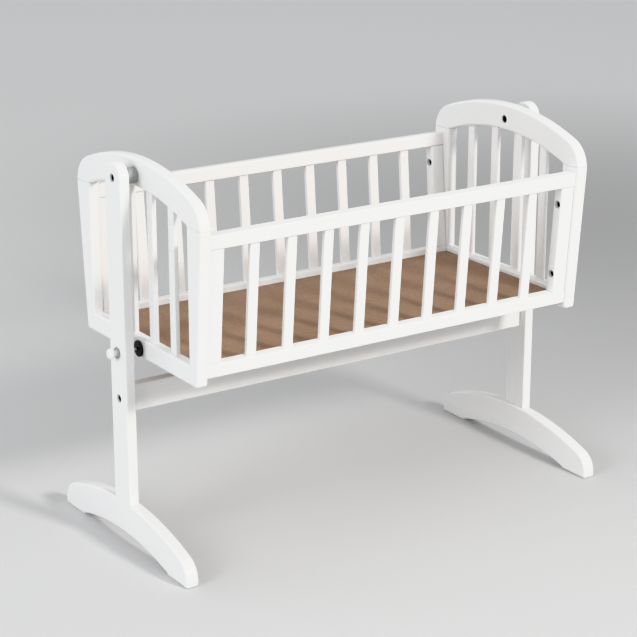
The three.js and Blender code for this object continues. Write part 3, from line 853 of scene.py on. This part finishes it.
# %% [markdown]
# ## Sawing the end into its boards
#
# The arch rail sits on the stiles, and the bottom rail between them. The saw leaves the hairline gap
# of a glued and lacquered joint. The end's four slats stand in mortises, and the pivot bolt's nut sits
# in a counterbore on the inside of the arch rail.

# %% Boards of an end

COUNTERBORE_RADIUS = 8.5 * MM
COUNTERBORE_DEPTH = 8 * MM
PIVOT_BORE = 4.5 * MM
RIM = 0.6 * MM
OVERSHOOT = 2 * MM  # how far a tool sticks out of the wood that it cuts
HAIR = 0.01 * MM  # keeps a cut out of the plane of a face that is there already


def counterbore(place, direction, through, bore):
    """The tool for a bolt hole: a countersunk rim, the counterbore, and the bore on through the wood."""
    wide = COUNTERBORE_RADIUS
    profile = [
        (-OVERSHOOT, 0.0),
        (-OVERSHOOT, wide + RIM + OVERSHOOT),
        (RIM, wide),
        (COUNTERBORE_DEPTH, wide),
        (COUNTERBORE_DEPTH, bore),
        (through + OVERSHOOT, bore),
        (through + OVERSHOOT, 0.0),
    ]
    return turned(profile, place, direction)


def drilled(place, direction, radius, depth):
    """The tool for a plain hole."""
    profile = [(-OVERSHOOT, 0), (-OVERSHOOT, radius), (depth, radius), (depth, 0)]
    return turned(profile, place, direction)


end_pitch = middle("right_end_slat_3").y - middle("right_end_slat_2").y
end_slat_count = sum(name.startswith("right_end_slat_") for name in nodes)
across = Matrix.Rotation(QUARTER, 4, "Z")


def end_slats(clearance=0.0):
    bottom, top = RAIL_TOP - INSERTION, UNDERSIDE + INSERTION
    return moved(slat_row(end_slat_count, end_pitch, bottom, top, UNDERSIDE_RADIUS, clearance), across)


inner_face = -END_THICKNESS / 2
end_mortises = end_slats(CLEARANCE)
pivot_hole = counterbore((inner_face, 0, PIVOT.z), (1, 0, 0), END_THICKNESS, PIVOT_BORE)
arch_board = sawn(end_panel, ((0, 0, STILE_TOP + JOINT_GAP / 2), (0, 0, -1)))
arch_board = carved(arch_board, end_mortises, pivot_hole)
stile_board = sawn(
    end_panel,
    ((0, 0, STILE_TOP - JOINT_GAP / 2), (0, 0, 1)),
    ((0, OPENING - HAIR, 0), (0, -1, 0)),
)
rail_end = OPENING - JOINT_GAP
rail_board = sawn(
    end_panel,
    ((0, rail_end, 0), (0, 1, 0)),
    ((0, -rail_end, 0), (0, -1, 0)),
    ((0, 0, RAIL_TOP + MM), (0, 0, 1)),
)
rail_board = carved(rail_board, end_mortises)
print("arch rail", len(arch_board.polygons), "faces, stile", len(stile_board.polygons))

# %% [markdown]
# ## Both ends
#
# The two ends are made of the same boards. The left one is turned half round about the vertical, so
# that the counterbore in its arch rail still faces into the crib. Only its bottom rail differs: it is
# bored for the pin of the lock.

# %% Place both ends

FLIP_Y = Matrix.Diagonal((1.0, -1.0, 1.0, 1.0))
lock_hole = drilled((-inner_face, 0, LOCK_HEIGHT), (-1, 0, 0), radius=4 * MM, depth=12 * MM)


def end_boards(side, place, near, far):
    """near and far name the stiles at -Y and +Y of the end as it is built."""
    rail = carved(rail_board.copy(), lock_hole) if side == "left" else rail_board
    near_stile = moved(stile_board, FLIP_Y)
    slats = numbered(f"{side}_end_slat", end_slat_count)
    parts = [
        (f"arch_rail_{side}", arch_board, LACQUER_Y, [f"{side}_end_arch_rail"]),
        (f"end_bottom_rail_{side}", rail, LACQUER_Y, [f"{side}_end_bottom_rail"]),
        (f"end_stile_{side}_{far}", stile_board, LACQUER_Z, [f"{side}_end_{far}_stile"]),
        (f"end_stile_{side}_{near}", near_stile, LACQUER_Z, [f"{side}_end_{near}_stile"]),
        (f"end_slats_{side}", end_slats(), LACQUER_Z, slats),
    ]
    for name, mesh, finish, replaced in parts:
        wooden(name, moved(mesh, place), finish, "crib", *replaced)


end_boards("right", shift(x=RIGHT_END_X), "front", "back")
end_boards("left", shift(x=LEFT_END_X) @ HALF_TURN, "back", "front")
print("ends placed at", round(LEFT_END_X, 4), "and", round(RIGHT_END_X, 4))

# %% [markdown]
# ## Leaning sides
#
# The sides lean outwards with the stiles of the ends. Each is built upright about Y = 0, with its
# outside towards -Y, and then leaned as one, so its joints stay square. The top rail runs the full
# length and caps the stiles, which shows as a fine dark line under its ends.

# %% Where a side stands

SIDE_THICKNESS = 24 * MM
SIDE_ROUNDING = 3 * MM
BOTTOM_RAIL_HEIGHT = 28 * MM
TOP_RAIL_HEIGHT = 29.5 * MM
STILE_WIDTH = size("front_side_left_stile").x
SIDE_HALF = size("front_side_top_rail").x / 2

lean_cos, lean_sin = math.cos(LEAN), math.sin(LEAN)
low_rail, top_rail = middle("front_side_bottom_rail"), middle("front_side_top_rail")
side_y = -low_rail.y - BOTTOM_RAIL_HEIGHT / 2 * lean_sin
side_bottom = low_rail.z - BOTTOM_RAIL_HEIGHT / 2 * lean_cos
side_height = (top_rail.z - side_bottom) / lean_cos + TOP_RAIL_HEIGHT / 2
FRONT_SIDE = shift(CRIB_X, -side_y, side_bottom) @ Matrix.Rotation(LEAN, 4, "X")
BACK_SIDE = shift(x=CRIB_X) @ HALF_TURN @ shift(x=-CRIB_X) @ FRONT_SIDE
print("a side is", round(side_height / MM, 1), "mm high, from", round(side_bottom / MM, 1), "up")

# %% [markdown]
# ## Rails, stiles and slats of a side
#
# Rails are mortised for nine slats. A bolt goes through each side stile into the end, at two heights,
# and its head is sunk in the stile's inner edge.

# %% Boards of a side

CORNER_BOLT_HEIGHTS = [483 * MM, 640 * MM]
FRAME_BORE = 3.5 * MM

side_pitch = middle("front_side_slat_2").x - middle("front_side_slat_1").x
side_slat_count = sum(name.startswith("front_side_slat_") for name in nodes)
rail_low, rail_high = BOTTOM_RAIL_HEIGHT, side_height - TOP_RAIL_HEIGHT
half_thick = SIDE_THICKNESS / 2


def side_slats(clearance=0.0):
    bottom, top = rail_low - INSERTION, rail_high + INSERTION
    return slat_row(side_slat_count, side_pitch, bottom, top, clearance=clearance)


def side_rail(bottom, top):
    blank = board((-SIDE_HALF, -half_thick, bottom), (SIDE_HALF, half_thick, top), 0, SIDE_ROUNDING)
    return carved(blank, side_slats(CLEARANCE))


def side_stile(sign):
    """The stile at the -X or +X end of a side, with its two bolt holes."""
    inner, outer = SIDE_HALF - STILE_WIDTH, SIDE_HALF
    ends = sorted([sign * inner, sign * outer])
    start = (ends[0], -half_thick, rail_low + JOINT_GAP)
    stop = (ends[1], half_thick, rail_high - JOINT_GAP)
    holes = []
    for height in CORNER_BOLT_HEIGHTS:
        place = (sign * inner, 0, (height - side_bottom) / lean_cos)
        holes.append(counterbore(place, (sign, 0, 0), STILE_WIDTH, FRAME_BORE))
    return carved(board(start, stop, 2, SIDE_ROUNDING), *holes)


side_parts = [
    ("bottom_rail", side_rail(0, rail_low), LACQUER_X),
    ("top_rail", side_rail(rail_high, side_height), LACQUER_X),
    ("near_stile", side_stile(-1), LACQUER_Z),
    ("far_stile", side_stile(1), LACQUER_Z),
    ("slats", side_slats(), LACQUER_Z),
]
both_sides = [("front", FRONT_SIDE, "left", "right"), ("back", BACK_SIDE, "right", "left")]
for side, place, near, far in both_sides:
    for part, mesh, finish in side_parts:
        part = part.replace("near", near).replace("far", far)
        one = [f"{side}_side_{part}"]
        replaced = numbered(f"{side}_side_slat", side_slat_count) if part == "slats" else one
        wooden(f"side_{part}_{side}", moved(mesh, place), finish, "crib", *replaced)
print("sides have", side_slat_count, "slats at a pitch of", round(side_pitch / MM, 1), "mm")

# %% [markdown]
# ## Base board
#
# A thin board of bare fibreboard lies on two cleats that are screwed to the sides' bottom rails. Its
# edges are sawn, so only their arris is broken.

# %% Base board and cleats

CLEAT_ROUNDING = 1.5 * MM

base = board(low("base_board"), high("base_board"), 0, ARRIS, segments=2)
piece("base_panel", base, FIBREBOARD, "crib", ["base_board"])
for side in ("front", "back"):
    start, stop = low(f"{side}_base_cleat"), high(f"{side}_base_cleat")
    cleat = board(start, stop, 0, CLEAT_ROUNDING, segments=3)
    wooden(f"cleat_{side}", cleat, LACQUER_X, "crib", f"{side}_base_cleat")
print("base board", [round(v, 3) for v in size("base_board")])

# %% [markdown]
# ## Arched feet
#
# A foot is one board sawn to a flat arch on top and a hollow underneath, so that it stands on two pads.
# The nose is an arc that touches the arch and ends upright, and its radius follows from that.

# %% The foot jig

FOOT_ROUNDING = 5 * MM
FOOT_TOP = high("right_foot").z
FOOT_THICKNESS = size("right_foot").x
FOOT_SIZES = {
    "half": size("right_foot").y / 2,
    "top": FOOT_TOP,
    "radius": 690 * MM,
    "nose": 12 * MM,
    "heel": 6 * MM,
    "pad": 182 * MM,
    "step": 3 * MM,
    "hollow": 28 * MM,
}


def draw_foot(jig, half, top, radius, nose, heel, pad, step, hollow):
    """Draws the hollow, the pad that stands a step below it, the nose, and the arch up to its top."""
    centre = top - radius
    rise = nose - centre
    nose_radius = (radius * radius - rise * rise - half * half) / (2.0 * (radius - half))
    nose_y = half - nose_radius
    meets = (rise / nose_y).math("ARCTANGENT")
    hollow_rise = hollow - step
    hollow_radius = (pad * pad + hollow_rise * hollow_rise) / (2.0 * hollow_rise)
    spring = ((step - hollow + hollow_radius) / pad).math("ARCTANGENT")
    return [
        jig.arc((0.0, hollow - hollow_radius), hollow_radius, spring, QUARTER - spring, 48),
        jig.line((pad, step), (pad, 0.0)),
        jig.line((pad, 0.0), (half - heel, 0.0)),
        jig.arc((half - heel, heel), heel, -QUARTER, QUARTER, 6),
        jig.line((half, heel), (half, nose)),
        jig.arc((nose_y, nose), nose_radius, 0.0, meets, 24),
        jig.arc((0.0, centre), radius, meets, QUARTER - meets, 48),
    ]


FOOT_JIG = panel_jig("Arched foot", draw_foot, FOOT_SIZES)
foot_settings = {**FOOT_SIZES, "thickness": FOOT_THICKNESS, "material": LACQUER_Y}
foot = FOOT_JIG.run(foot_settings, bevel=(FOOT_ROUNDING, 6))
for side in ("left", "right"):
    placed = moved(foot, shift(x=middle(f"{side}_foot").x))
    wooden(f"foot_of_{side}_upright", placed, LACQUER_Y, "stand", f"{side}_foot")
print("a foot has", len(foot.polygons), "faces")

# %% [markdown]
# ## Uprights
#
# An upright is a board with a half-round top about the pivot. Its lower end is scribed over the foot:
# the foot itself, a hair larger, is the tool that cuts it, so the outer faces run on flush. Bolt holes
# go in from outside, for the pivot above and the stretcher below. The left upright is also bored for
# the lock.

# %% The upright jig

UPRIGHT_ROUNDING = 3 * MM
UPRIGHT_THICKNESS = size("right_upright").x
UPRIGHT_SIZES = {"half": size("right_upright").y / 2, "bottom": 70 * MM, "pivot": PIVOT.z}
SCRIBE_GAP = 0.2 * MM


def draw_upright(jig, half, bottom, pivot):
    return [
        jig.line((0.0, bottom), (half, bottom)),
        jig.line((half, bottom), (half, pivot)),
        jig.arc((0.0, pivot), half, 0.0, QUARTER, 24),
    ]


UPRIGHT_JIG = panel_jig("Upright", draw_upright, UPRIGHT_SIZES)
upright_settings = {**UPRIGHT_SIZES, "thickness": UPRIGHT_THICKNESS, "material": LACQUER_Z}
blank_upright = UPRIGHT_JIG.run(upright_settings, bevel=(UPRIGHT_ROUNDING, 5))
scribe_settings = {
    **foot_settings,
    "top": FOOT_TOP + SCRIBE_GAP,
    "thickness": FOOT_THICKNESS + SCRIBE_GAP / 2,
}
foot_offset = middle("right_foot").x - middle("right_upright").x
scribe = moved(FOOT_JIG.run(scribe_settings, bevel=(FOOT_ROUNDING, 6)), shift(x=foot_offset))
outer_face = UPRIGHT_THICKNESS / 2
bolt_holes = [
    counterbore((outer_face, 0, height), (-1, 0, 0), UPRIGHT_THICKNESS, bore)
    for height, bore in [(PIVOT.z, PIVOT_BORE), (STRETCHER_HEIGHT, FRAME_BORE)]
]
upright = carved(blank_upright, scribe, *bolt_holes)

through = UPRIGHT_THICKNESS + OVERSHOOT
bush_hole = drilled((outer_face, 0, LOCK_HEIGHT), (-1, 0, 0), radius=8 * MM, depth=through)
right_post = moved(upright, shift(x=RIGHT_STAND_X))
wooden("post_right", right_post, LACQUER_Z, "stand", "right_upright")
left_post = moved(carved(upright.copy(), bush_hole), shift(x=LEFT_STAND_X) @ HALF_TURN)
wooden("post_left", left_post, LACQUER_Z, "stand", "left_upright")

beam_low, beam_high = low("stretcher").copy(), high("stretcher").copy()
beam_low.x = high("left_upright").x + JOINT_GAP
beam_high.x = low("right_upright").x - JOINT_GAP
wooden("beam", board(beam_low, beam_high, 0, UPRIGHT_ROUNDING), LACQUER_X, "stand", "stretcher")
print("an upright has", len(upright.polygons), "faces")

# %% [markdown]
# ## Bolts
#
# All the bolts have the same kind of head, with a hexagon socket. One jig makes a head and its shank
# and sets them on marked points. The sign of a point's distance from the middle of the crib tells which
# way its bolt faces, and a random turn with a fixed seed leaves the sockets as a hand leaves them.

# %% The bolt jig

HEAD_CORNERS = 40
SHANK_CORNERS = 20
SOCKET_CORNERS = 6
EASED_EDGE = 0.4 * MM


def bolt_jig():
    jig = Jig("Socket bolts")
    radius, height, socket, shank, length = jig.sizes("radius height socket shank length")
    centre, facing = jig.sizes("centre facing")
    seed = jig.size("seed", "NodeSocketInt")

    def circle(corners, size):
        sockets = {"Resolution": corners, "Radius": size}
        return jig.node("GeometryNodeCurvePrimitiveCircle", {"mode": "RADIUS"}, sockets)

    web = height * 0.3
    ring = jig.filled(jig.join(circle(HEAD_CORNERS, radius), circle(SOCKET_CORNERS, socket)))
    disc = jig.filled(circle(HEAD_CORNERS, radius))
    floor = jig.filled(circle(SOCKET_CORNERS, socket))
    collar = jig.raised(ring, height - web)
    lower = jig.raised(disc, web)
    lid = {"Geometry": lower, "Selection": lower.also("Top")}
    skirt = jig.node("GeometryNodeDeleteGeometry", {"domain": "FACE"}, lid)
    upper = jig.move(jig.join(collar, floor), translation=jig.point(z=web))
    head = jig.welded(jig.join(upper, skirt, jig.flipped(disc)), WELD)
    stem = solid_from(jig, jig.filled(circle(SHANK_CORNERS, shank)), length)
    stem = jig.move(stem, translation=jig.point(z=-length))
    bolt = jig.move(jig.join(head, stem), rotation=(0, QUARTER, 0))

    x = jig.coordinate(jig.node("GeometryNodeInputPosition"), "X")
    turned_back = ((x - centre) * facing).math("LESS_THAN", 0.0)
    draw = {"Max": 1.0, "Seed": seed}
    chance = jig.node("FunctionNodeRandomValue", {"data_type": "FLOAT"}, draw, output=1)
    turn = jig.point(x=chance, z=turned_back * math.pi)
    spin = jig.node("FunctionNodeEulerToRotation", sockets=[turn])
    sockets = {"Points": jig.incoming(), "Instance": bolt, "Rotation": spin}
    jig.finish(jig.node("GeometryNodeInstanceOnPoints", sockets=sockets))
    return jig


BOLT_JIG = bolt_jig()


def bolts(places, head, height, shank, length, seed, outwards=True):
    """Bolts with the underside of each head at a place."""
    settings = {
        "radius": head,
        "height": height,
        "socket": head / 2,
        "shank": shank,
        "length": length,
        "centre": CRIB_X,
        "facing": 1.0 if outwards else -1.0,
        "seed": seed,
        "material": BLACK_STEEL,
    }
    return BOLT_JIG.run(settings, places, bevel=(EASED_EDGE, 3, "ANGLE"))


def steel(name, mesh, body, *replaced):
    piece(name, mesh, BLACK_STEEL, body, replaced)


print("bolts can be made")

# %% [markdown]
# ## Where the bolts sit
#
# The head of every bolt rests on the floor of its counterbore. Eight bolts join the sides to the ends,
# two hold the stretcher, and the crib hangs on two more. Each of those two ends in a sleeve nut, which
# comes from the same jig with a thicker shank.

# %% Bolts of the crib and of the stand

BIG_HEAD = {"head": 6.5 * MM, "height": 5.3 * MM, "shank": 4 * MM}
SMALL_HEAD = {"head": 6 * MM, "height": 5.3 * MM, "shank": 3 * MM}
FLAT_HEAD = {"head": 6 * MM, "height": 3.2 * MM, "shank": 3 * MM}
SLEEVE_NUT = {"head": 7 * MM, "height": 6.3 * MM, "shank": 4.2 * MM}

corner_seat = SIDE_HALF - STILE_WIDTH + COUNTERBORE_DEPTH
corner_places = [
    (CRIB_X + end * corner_seat, side * (side_y + (height - side_bottom) * LEAN_SLOPE), height)
    for end in (-1, 1)
    for side in (-1, 1)
    for height in CORNER_BOLT_HEIGHTS
]
corner_bolts = bolts(corner_places, **FLAT_HEAD, length=42 * MM, seed=3, outwards=False)
steel("corner_bolts", corner_bolts, "crib")

left_seat = LEFT_STAND_X - UPRIGHT_THICKNESS / 2 + COUNTERBORE_DEPTH
right_seat = RIGHT_STAND_X + UPRIGHT_THICKNESS / 2 - COUNTERBORE_DEPTH
left_nut_seat = LEFT_END_X + END_THICKNESS / 2 - COUNTERBORE_DEPTH
right_nut_seat = RIGHT_END_X - END_THICKNESS / 2 + COUNTERBORE_DEPTH
pivot_heads = [(x, 0, PIVOT.z) for x in (left_seat, right_seat)]
pivot_nuts = [(x, 0, PIVOT.z) for x in (left_nut_seat, right_nut_seat)]
pivot_bolts = together(
    bolts(pivot_heads, **BIG_HEAD, length=left_nut_seat - left_seat, seed=5),
    bolts(pivot_nuts, **SLEEVE_NUT, length=14 * MM, seed=9, outwards=False),
)
steel("pivot_bolts", pivot_bolts, "stand", "left_pivot_bolt", "right_pivot_bolt")

beam_places = [(x, 0, STRETCHER_HEIGHT) for x in (left_seat, right_seat)]
beam_bolts = bolts(beam_places, **SMALL_HEAD, length=54 * MM, seed=4)
steel("beam_bolts", beam_bolts, "stand", "left_stretcher_bolt", "right_stretcher_bolt")
print(len(corner_places), "corner bolts,", len(pivot_heads), "pivot bolts,", end=" ")
print(len(beam_places), "stretcher bolts")

# %% [markdown]
# ## Pivot spacers and the lock
#
# These are turned parts, so each is a profile spun round its axis. The corners of a profile are eased
# first, because no turned part has a perfectly sharp edge. A spacer is a thick ring with two rims. The
# lock is a knob and pin that slide through a bush in the left upright, towards a ring on the crib.

# %% Turned parts

SPACER_BORE = 4.3
SPACER_LIP = 2.4
SPACER_GROOVE = 0.8


def eased(profile, radius, steps=4):
    """A profile with its corners rounded by short curves."""
    points = [Vector(p) for p in profile]
    result = [points[0]]
    for before, corner, after in zip(points, points[1:], points[2:]):
        start = corner + (before - corner).normalized() * min(radius, (before - corner).length / 2)
        stop = corner + (after - corner).normalized() * min(radius, (after - corner).length / 2)
        for i in range(steps + 1):
            t = i / steps
            result.append(start * (1 - t) ** 2 + corner * 2 * t * (1 - t) + stop * t**2)
    return result + [points[-1]]


def lathe(pairs, radius, start, height, steps=4):
    """Turns a profile in millimetres, with eased corners, from a point on the X axis at a height."""
    profile = [(along * MM, out * MM) for along, out in pairs]
    return turned(eased(profile, radius * MM, steps), (start, 0, height))


for side in ("left", "right"):
    name = f"{side}_pivot_spacer"
    width, rim = size(name).x / MM, size(name).z / 2 / MM
    groove = rim - SPACER_GROOVE
    profile = [
        (0, SPACER_BORE), (0, rim), (SPACER_LIP, rim), (SPACER_LIP, groove),
        (width - SPACER_LIP, groove), (width - SPACER_LIP, rim), (width, rim),
        (width, SPACER_BORE), (0, SPACER_BORE),
    ]
    spacer = lathe(profile, 0.6, low(name).x, PIVOT.z)
    piece(f"spacer_{side}", spacer, GREY_PLASTIC_AND_PAINTED_SHADE, "stand", [name])

knob_start = low("lock_knob").x
KNOB = [(0, 0), (0, 7.0), (2.6, 10.6), (6, 11.5), (9.5, 10.8), (11, 6), (24.7, 6), (24.7, 0)]
knob = lathe(KNOB, 3, knob_start, LOCK_HEIGHT, steps=8)
piece("lock_grip", knob, LACQUER_X, "lock", ["lock_knob"], corner=50)

pin_start = knob_start + KNOB[-1][0] * MM
pin_length = (high("lock_pin").x - pin_start) / MM
collar = (low("left_pivot_spacer").x - pin_start) / MM + 10
PIN, COLLAR, COLLAR_WIDTH = 3, 4.2, 2
pin_profile = [
    (0, 0), (0, PIN), (collar, PIN), (collar, COLLAR), (collar + COLLAR_WIDTH, COLLAR),
    (collar + COLLAR_WIDTH, PIN), (pin_length, PIN), (pin_length, 0),
]
pin = lathe(pin_profile, 0.8, pin_start, LOCK_HEIGHT)
piece("lock_bolt", pin, ZINC_STEEL, "lock", ["lock_pin"])

BUSH = [
    (0, 6.3), (0, 11.5), (2.5, 11.5), (2.5, 7.8), (24.8, 7.8), (24.8, 3.3), (18, 3.3), (18, 6.3),
    (0, 6.3),
]
bush = lathe(BUSH, 0.7, low("lock_bush").x, LOCK_HEIGHT)
# The bush is darker than the part itself: its grey is painted shade round the knob's neck.
piece("lock_sleeve", bush, GREY_PLASTIC_AND_PAINTED_SHADE, "stand", ["lock_bush"])

RECEIVER = [(0, 3.8), (0, 17), (4, 17), (4, 3.8), (0, 3.8)]
ring = lathe(RECEIVER, 0.9, low("lock_receiver").x, LOCK_HEIGHT)
piece("lock_ring", ring, BLACK_PLASTIC, "crib", ["lock_receiver"])
print("the lock's pin is", round(pin_length, 1), "mm long")

# %% [markdown]
# ## A studio round it
#
# The crib stands in a plain pale studio. One wide sheet of matt paper runs far out on all sides, so
# there is no corner or wall to meet, and only a camera that looks from low down sees where it ends. Its
# colour has light and shade painted into it. Far out it is painted lighter, as painted light where the
# lamps give it little. Round the crib it is darker, and darker again in a wide soft patch behind the
# crib, which is a painted shadow of the crib. An even grey sky gives most of the light, and it darkens
# towards the horizon. Three lamps stand low round the crib, and a narrowed spread keeps their light on
# it. The front lamp is small and bright, so that the slats throw soft stripes on the base board. The
# left lamp and the weak one at the back are large. The view transform eases off the brightest tones, so
# white lacquer keeps its form in that light. The camera never sees the lamps themselves.

# %% Floor and light

FLOOR_HALF = 60.0
# Painted light: far out the paper is painted lighter, where the lamps give it little light, and the
# reach sets how soon that starts.
PAINTED_LIGHT_FAR_PAPER = (0.80, 0.80, 0.803, 1)
NEAR_PAPER = (0.62, 0.62, 0.622, 1)
# Painted shadow: the darker tone, its place and its reach paint the crib's soft shadow onto the paper
# behind it.
PAINTED_SHADOW_PAPER = (0.43, 0.43, 0.432, 1)
PAINTED_LIGHT_REACH = 6.0
PAINTED_SHADOW_PLACE = (1.8, 1.3, 0)
PAINTED_SHADOW_REACH = 2.6


def nearness(finish, place, reach):
    """1 at a place on the floor, falling softly to 0 within a reach of it."""
    sockets = {"Vector": finish.place, "Location": place, "Scale": (reach,) * 3}
    there = finish.node("ShaderNodeMapping", {"vector_type": "TEXTURE"}, sockets)
    near = finish.node("ShaderNodeTexGradient", {"gradient_type": "SPHERICAL"}, [there], output=1)
    return near * near * (3 - 2 * near)


# The floor's colour carries painted light far out and a painted shadow of the crib behind it.
def studio_floor():
    finish = Finish("studio_floor")
    grit = finish.noise(300.0)
    # Painted light: the paper turns lighter away from the crib.
    paper = finish.between(nearness(finish, (0, 0, 0), PAINTED_LIGHT_REACH), PAINTED_LIGHT_FAR_PAPER, NEAR_PAPER)
    # Painted shadow of the crib, in a soft patch behind it.
    shade = nearness(finish, PAINTED_SHADOW_PLACE, PAINTED_SHADOW_REACH)
    colour = finish.between(shade, paper, PAINTED_SHADOW_PAPER)
    finish.set(base_color=colour, roughness=0.75 + grit * 0.1)
    return finish.material


floor_mesh = bpy.data.meshes.new("floor")
corners = [(x * FLOOR_HALF, y * FLOOR_HALF, 0) for x, y in [(-1, -1), (1, -1), (1, 1), (-1, 1)]]
floor_mesh.from_pydata(corners, [], [(0, 1, 2, 3)])
floor_mesh.materials.append(studio_floor())
floor = bpy.data.objects.new("floor", floor_mesh)
bpy.context.scene.collection.objects.link(floor)

TARGET = Vector((0, 0, 0.4))
LAMP_DISTANCE = 6.0
LAMP_SPREAD = 70


def softbox(name, round_from_front, above, size, power, colour):
    """A round lamp aimed at the crib, placed by two angles in degrees. To the right is positive."""
    turn = Matrix.Rotation(math.radians(round_from_front), 4, "Z")
    tilt = Matrix.Rotation(math.radians(90 - above), 4, "X")
    lamp = bpy.data.lights.new(name, "AREA")
    lamp.shape = "DISK"
    lamp.size = size
    lamp.energy = power
    lamp.color = colour
    lamp.spread = math.radians(LAMP_SPREAD)
    obj = bpy.data.objects.new(name, lamp)
    obj.matrix_world = Matrix.Translation(TARGET) @ turn @ tilt @ shift(z=LAMP_DISTANCE)
    obj.visible_camera = False
    bpy.context.scene.collection.objects.link(obj)


SKY_STOPS = [(0.0, (0.65, 0.655, 0.665)), (0.3, (0.985, 0.992, 1.0))]


def studio_sky(strength):
    world = bpy.data.worlds.new("studio")
    world.use_nodes = True
    sky = Maker(world.node_tree)
    direction = sky.node("ShaderNodeTexCoord")
    height = sky.node("ShaderNodeSeparateXYZ", sockets=[direction], output=2)
    tone = sky.node("ShaderNodeValToRGB", {"stops": SKY_STOPS}, [height])
    background = world.node_tree.nodes["Background"]
    background.inputs["Strength"].default_value = strength
    world.node_tree.links.new(tone.socket, background.inputs["Color"])
    return world


softbox("left lamp", -75, 22, size=3.0, power=22, colour=(0.96, 0.98, 1.0))
softbox("front lamp", 12, 28, size=1.0, power=36, colour=(1.0, 0.985, 0.955))
softbox("back lamp", -150, 22, size=3.0, power=8.5, colour=(1.0, 1.0, 1.0))
bpy.context.scene.world = studio_sky(strength=0.70)
bpy.context.scene.view_settings.view_transform = "Khronos PBR Neutral"
print("floor reaches", FLOOR_HALF, "m each way")

# %% [markdown]
# ## The camera
#
# The camera stands well back at the left front, a little above the crib, with a long lens, so the
# uprights stay nearly parallel.

# %% Set the camera

LOOKS_DOWN = 18.02
LOOKS_RIGHT = 33.44

lens = bpy.data.cameras.new("camera")
lens.lens = 112.4
lens.sensor_width = 36.0
lens.clip_end = 100.0
camera = bpy.data.objects.new("camera", lens)
camera.location = (-2.261, -3.377, 1.721)
camera.rotation_euler = (math.radians(90 - LOOKS_DOWN), 0, math.radians(-LOOKS_RIGHT))
bpy.context.scene.collection.objects.link(camera)
bpy.context.scene.camera = camera
print("camera at", [round(v, 3) for v in camera.location])
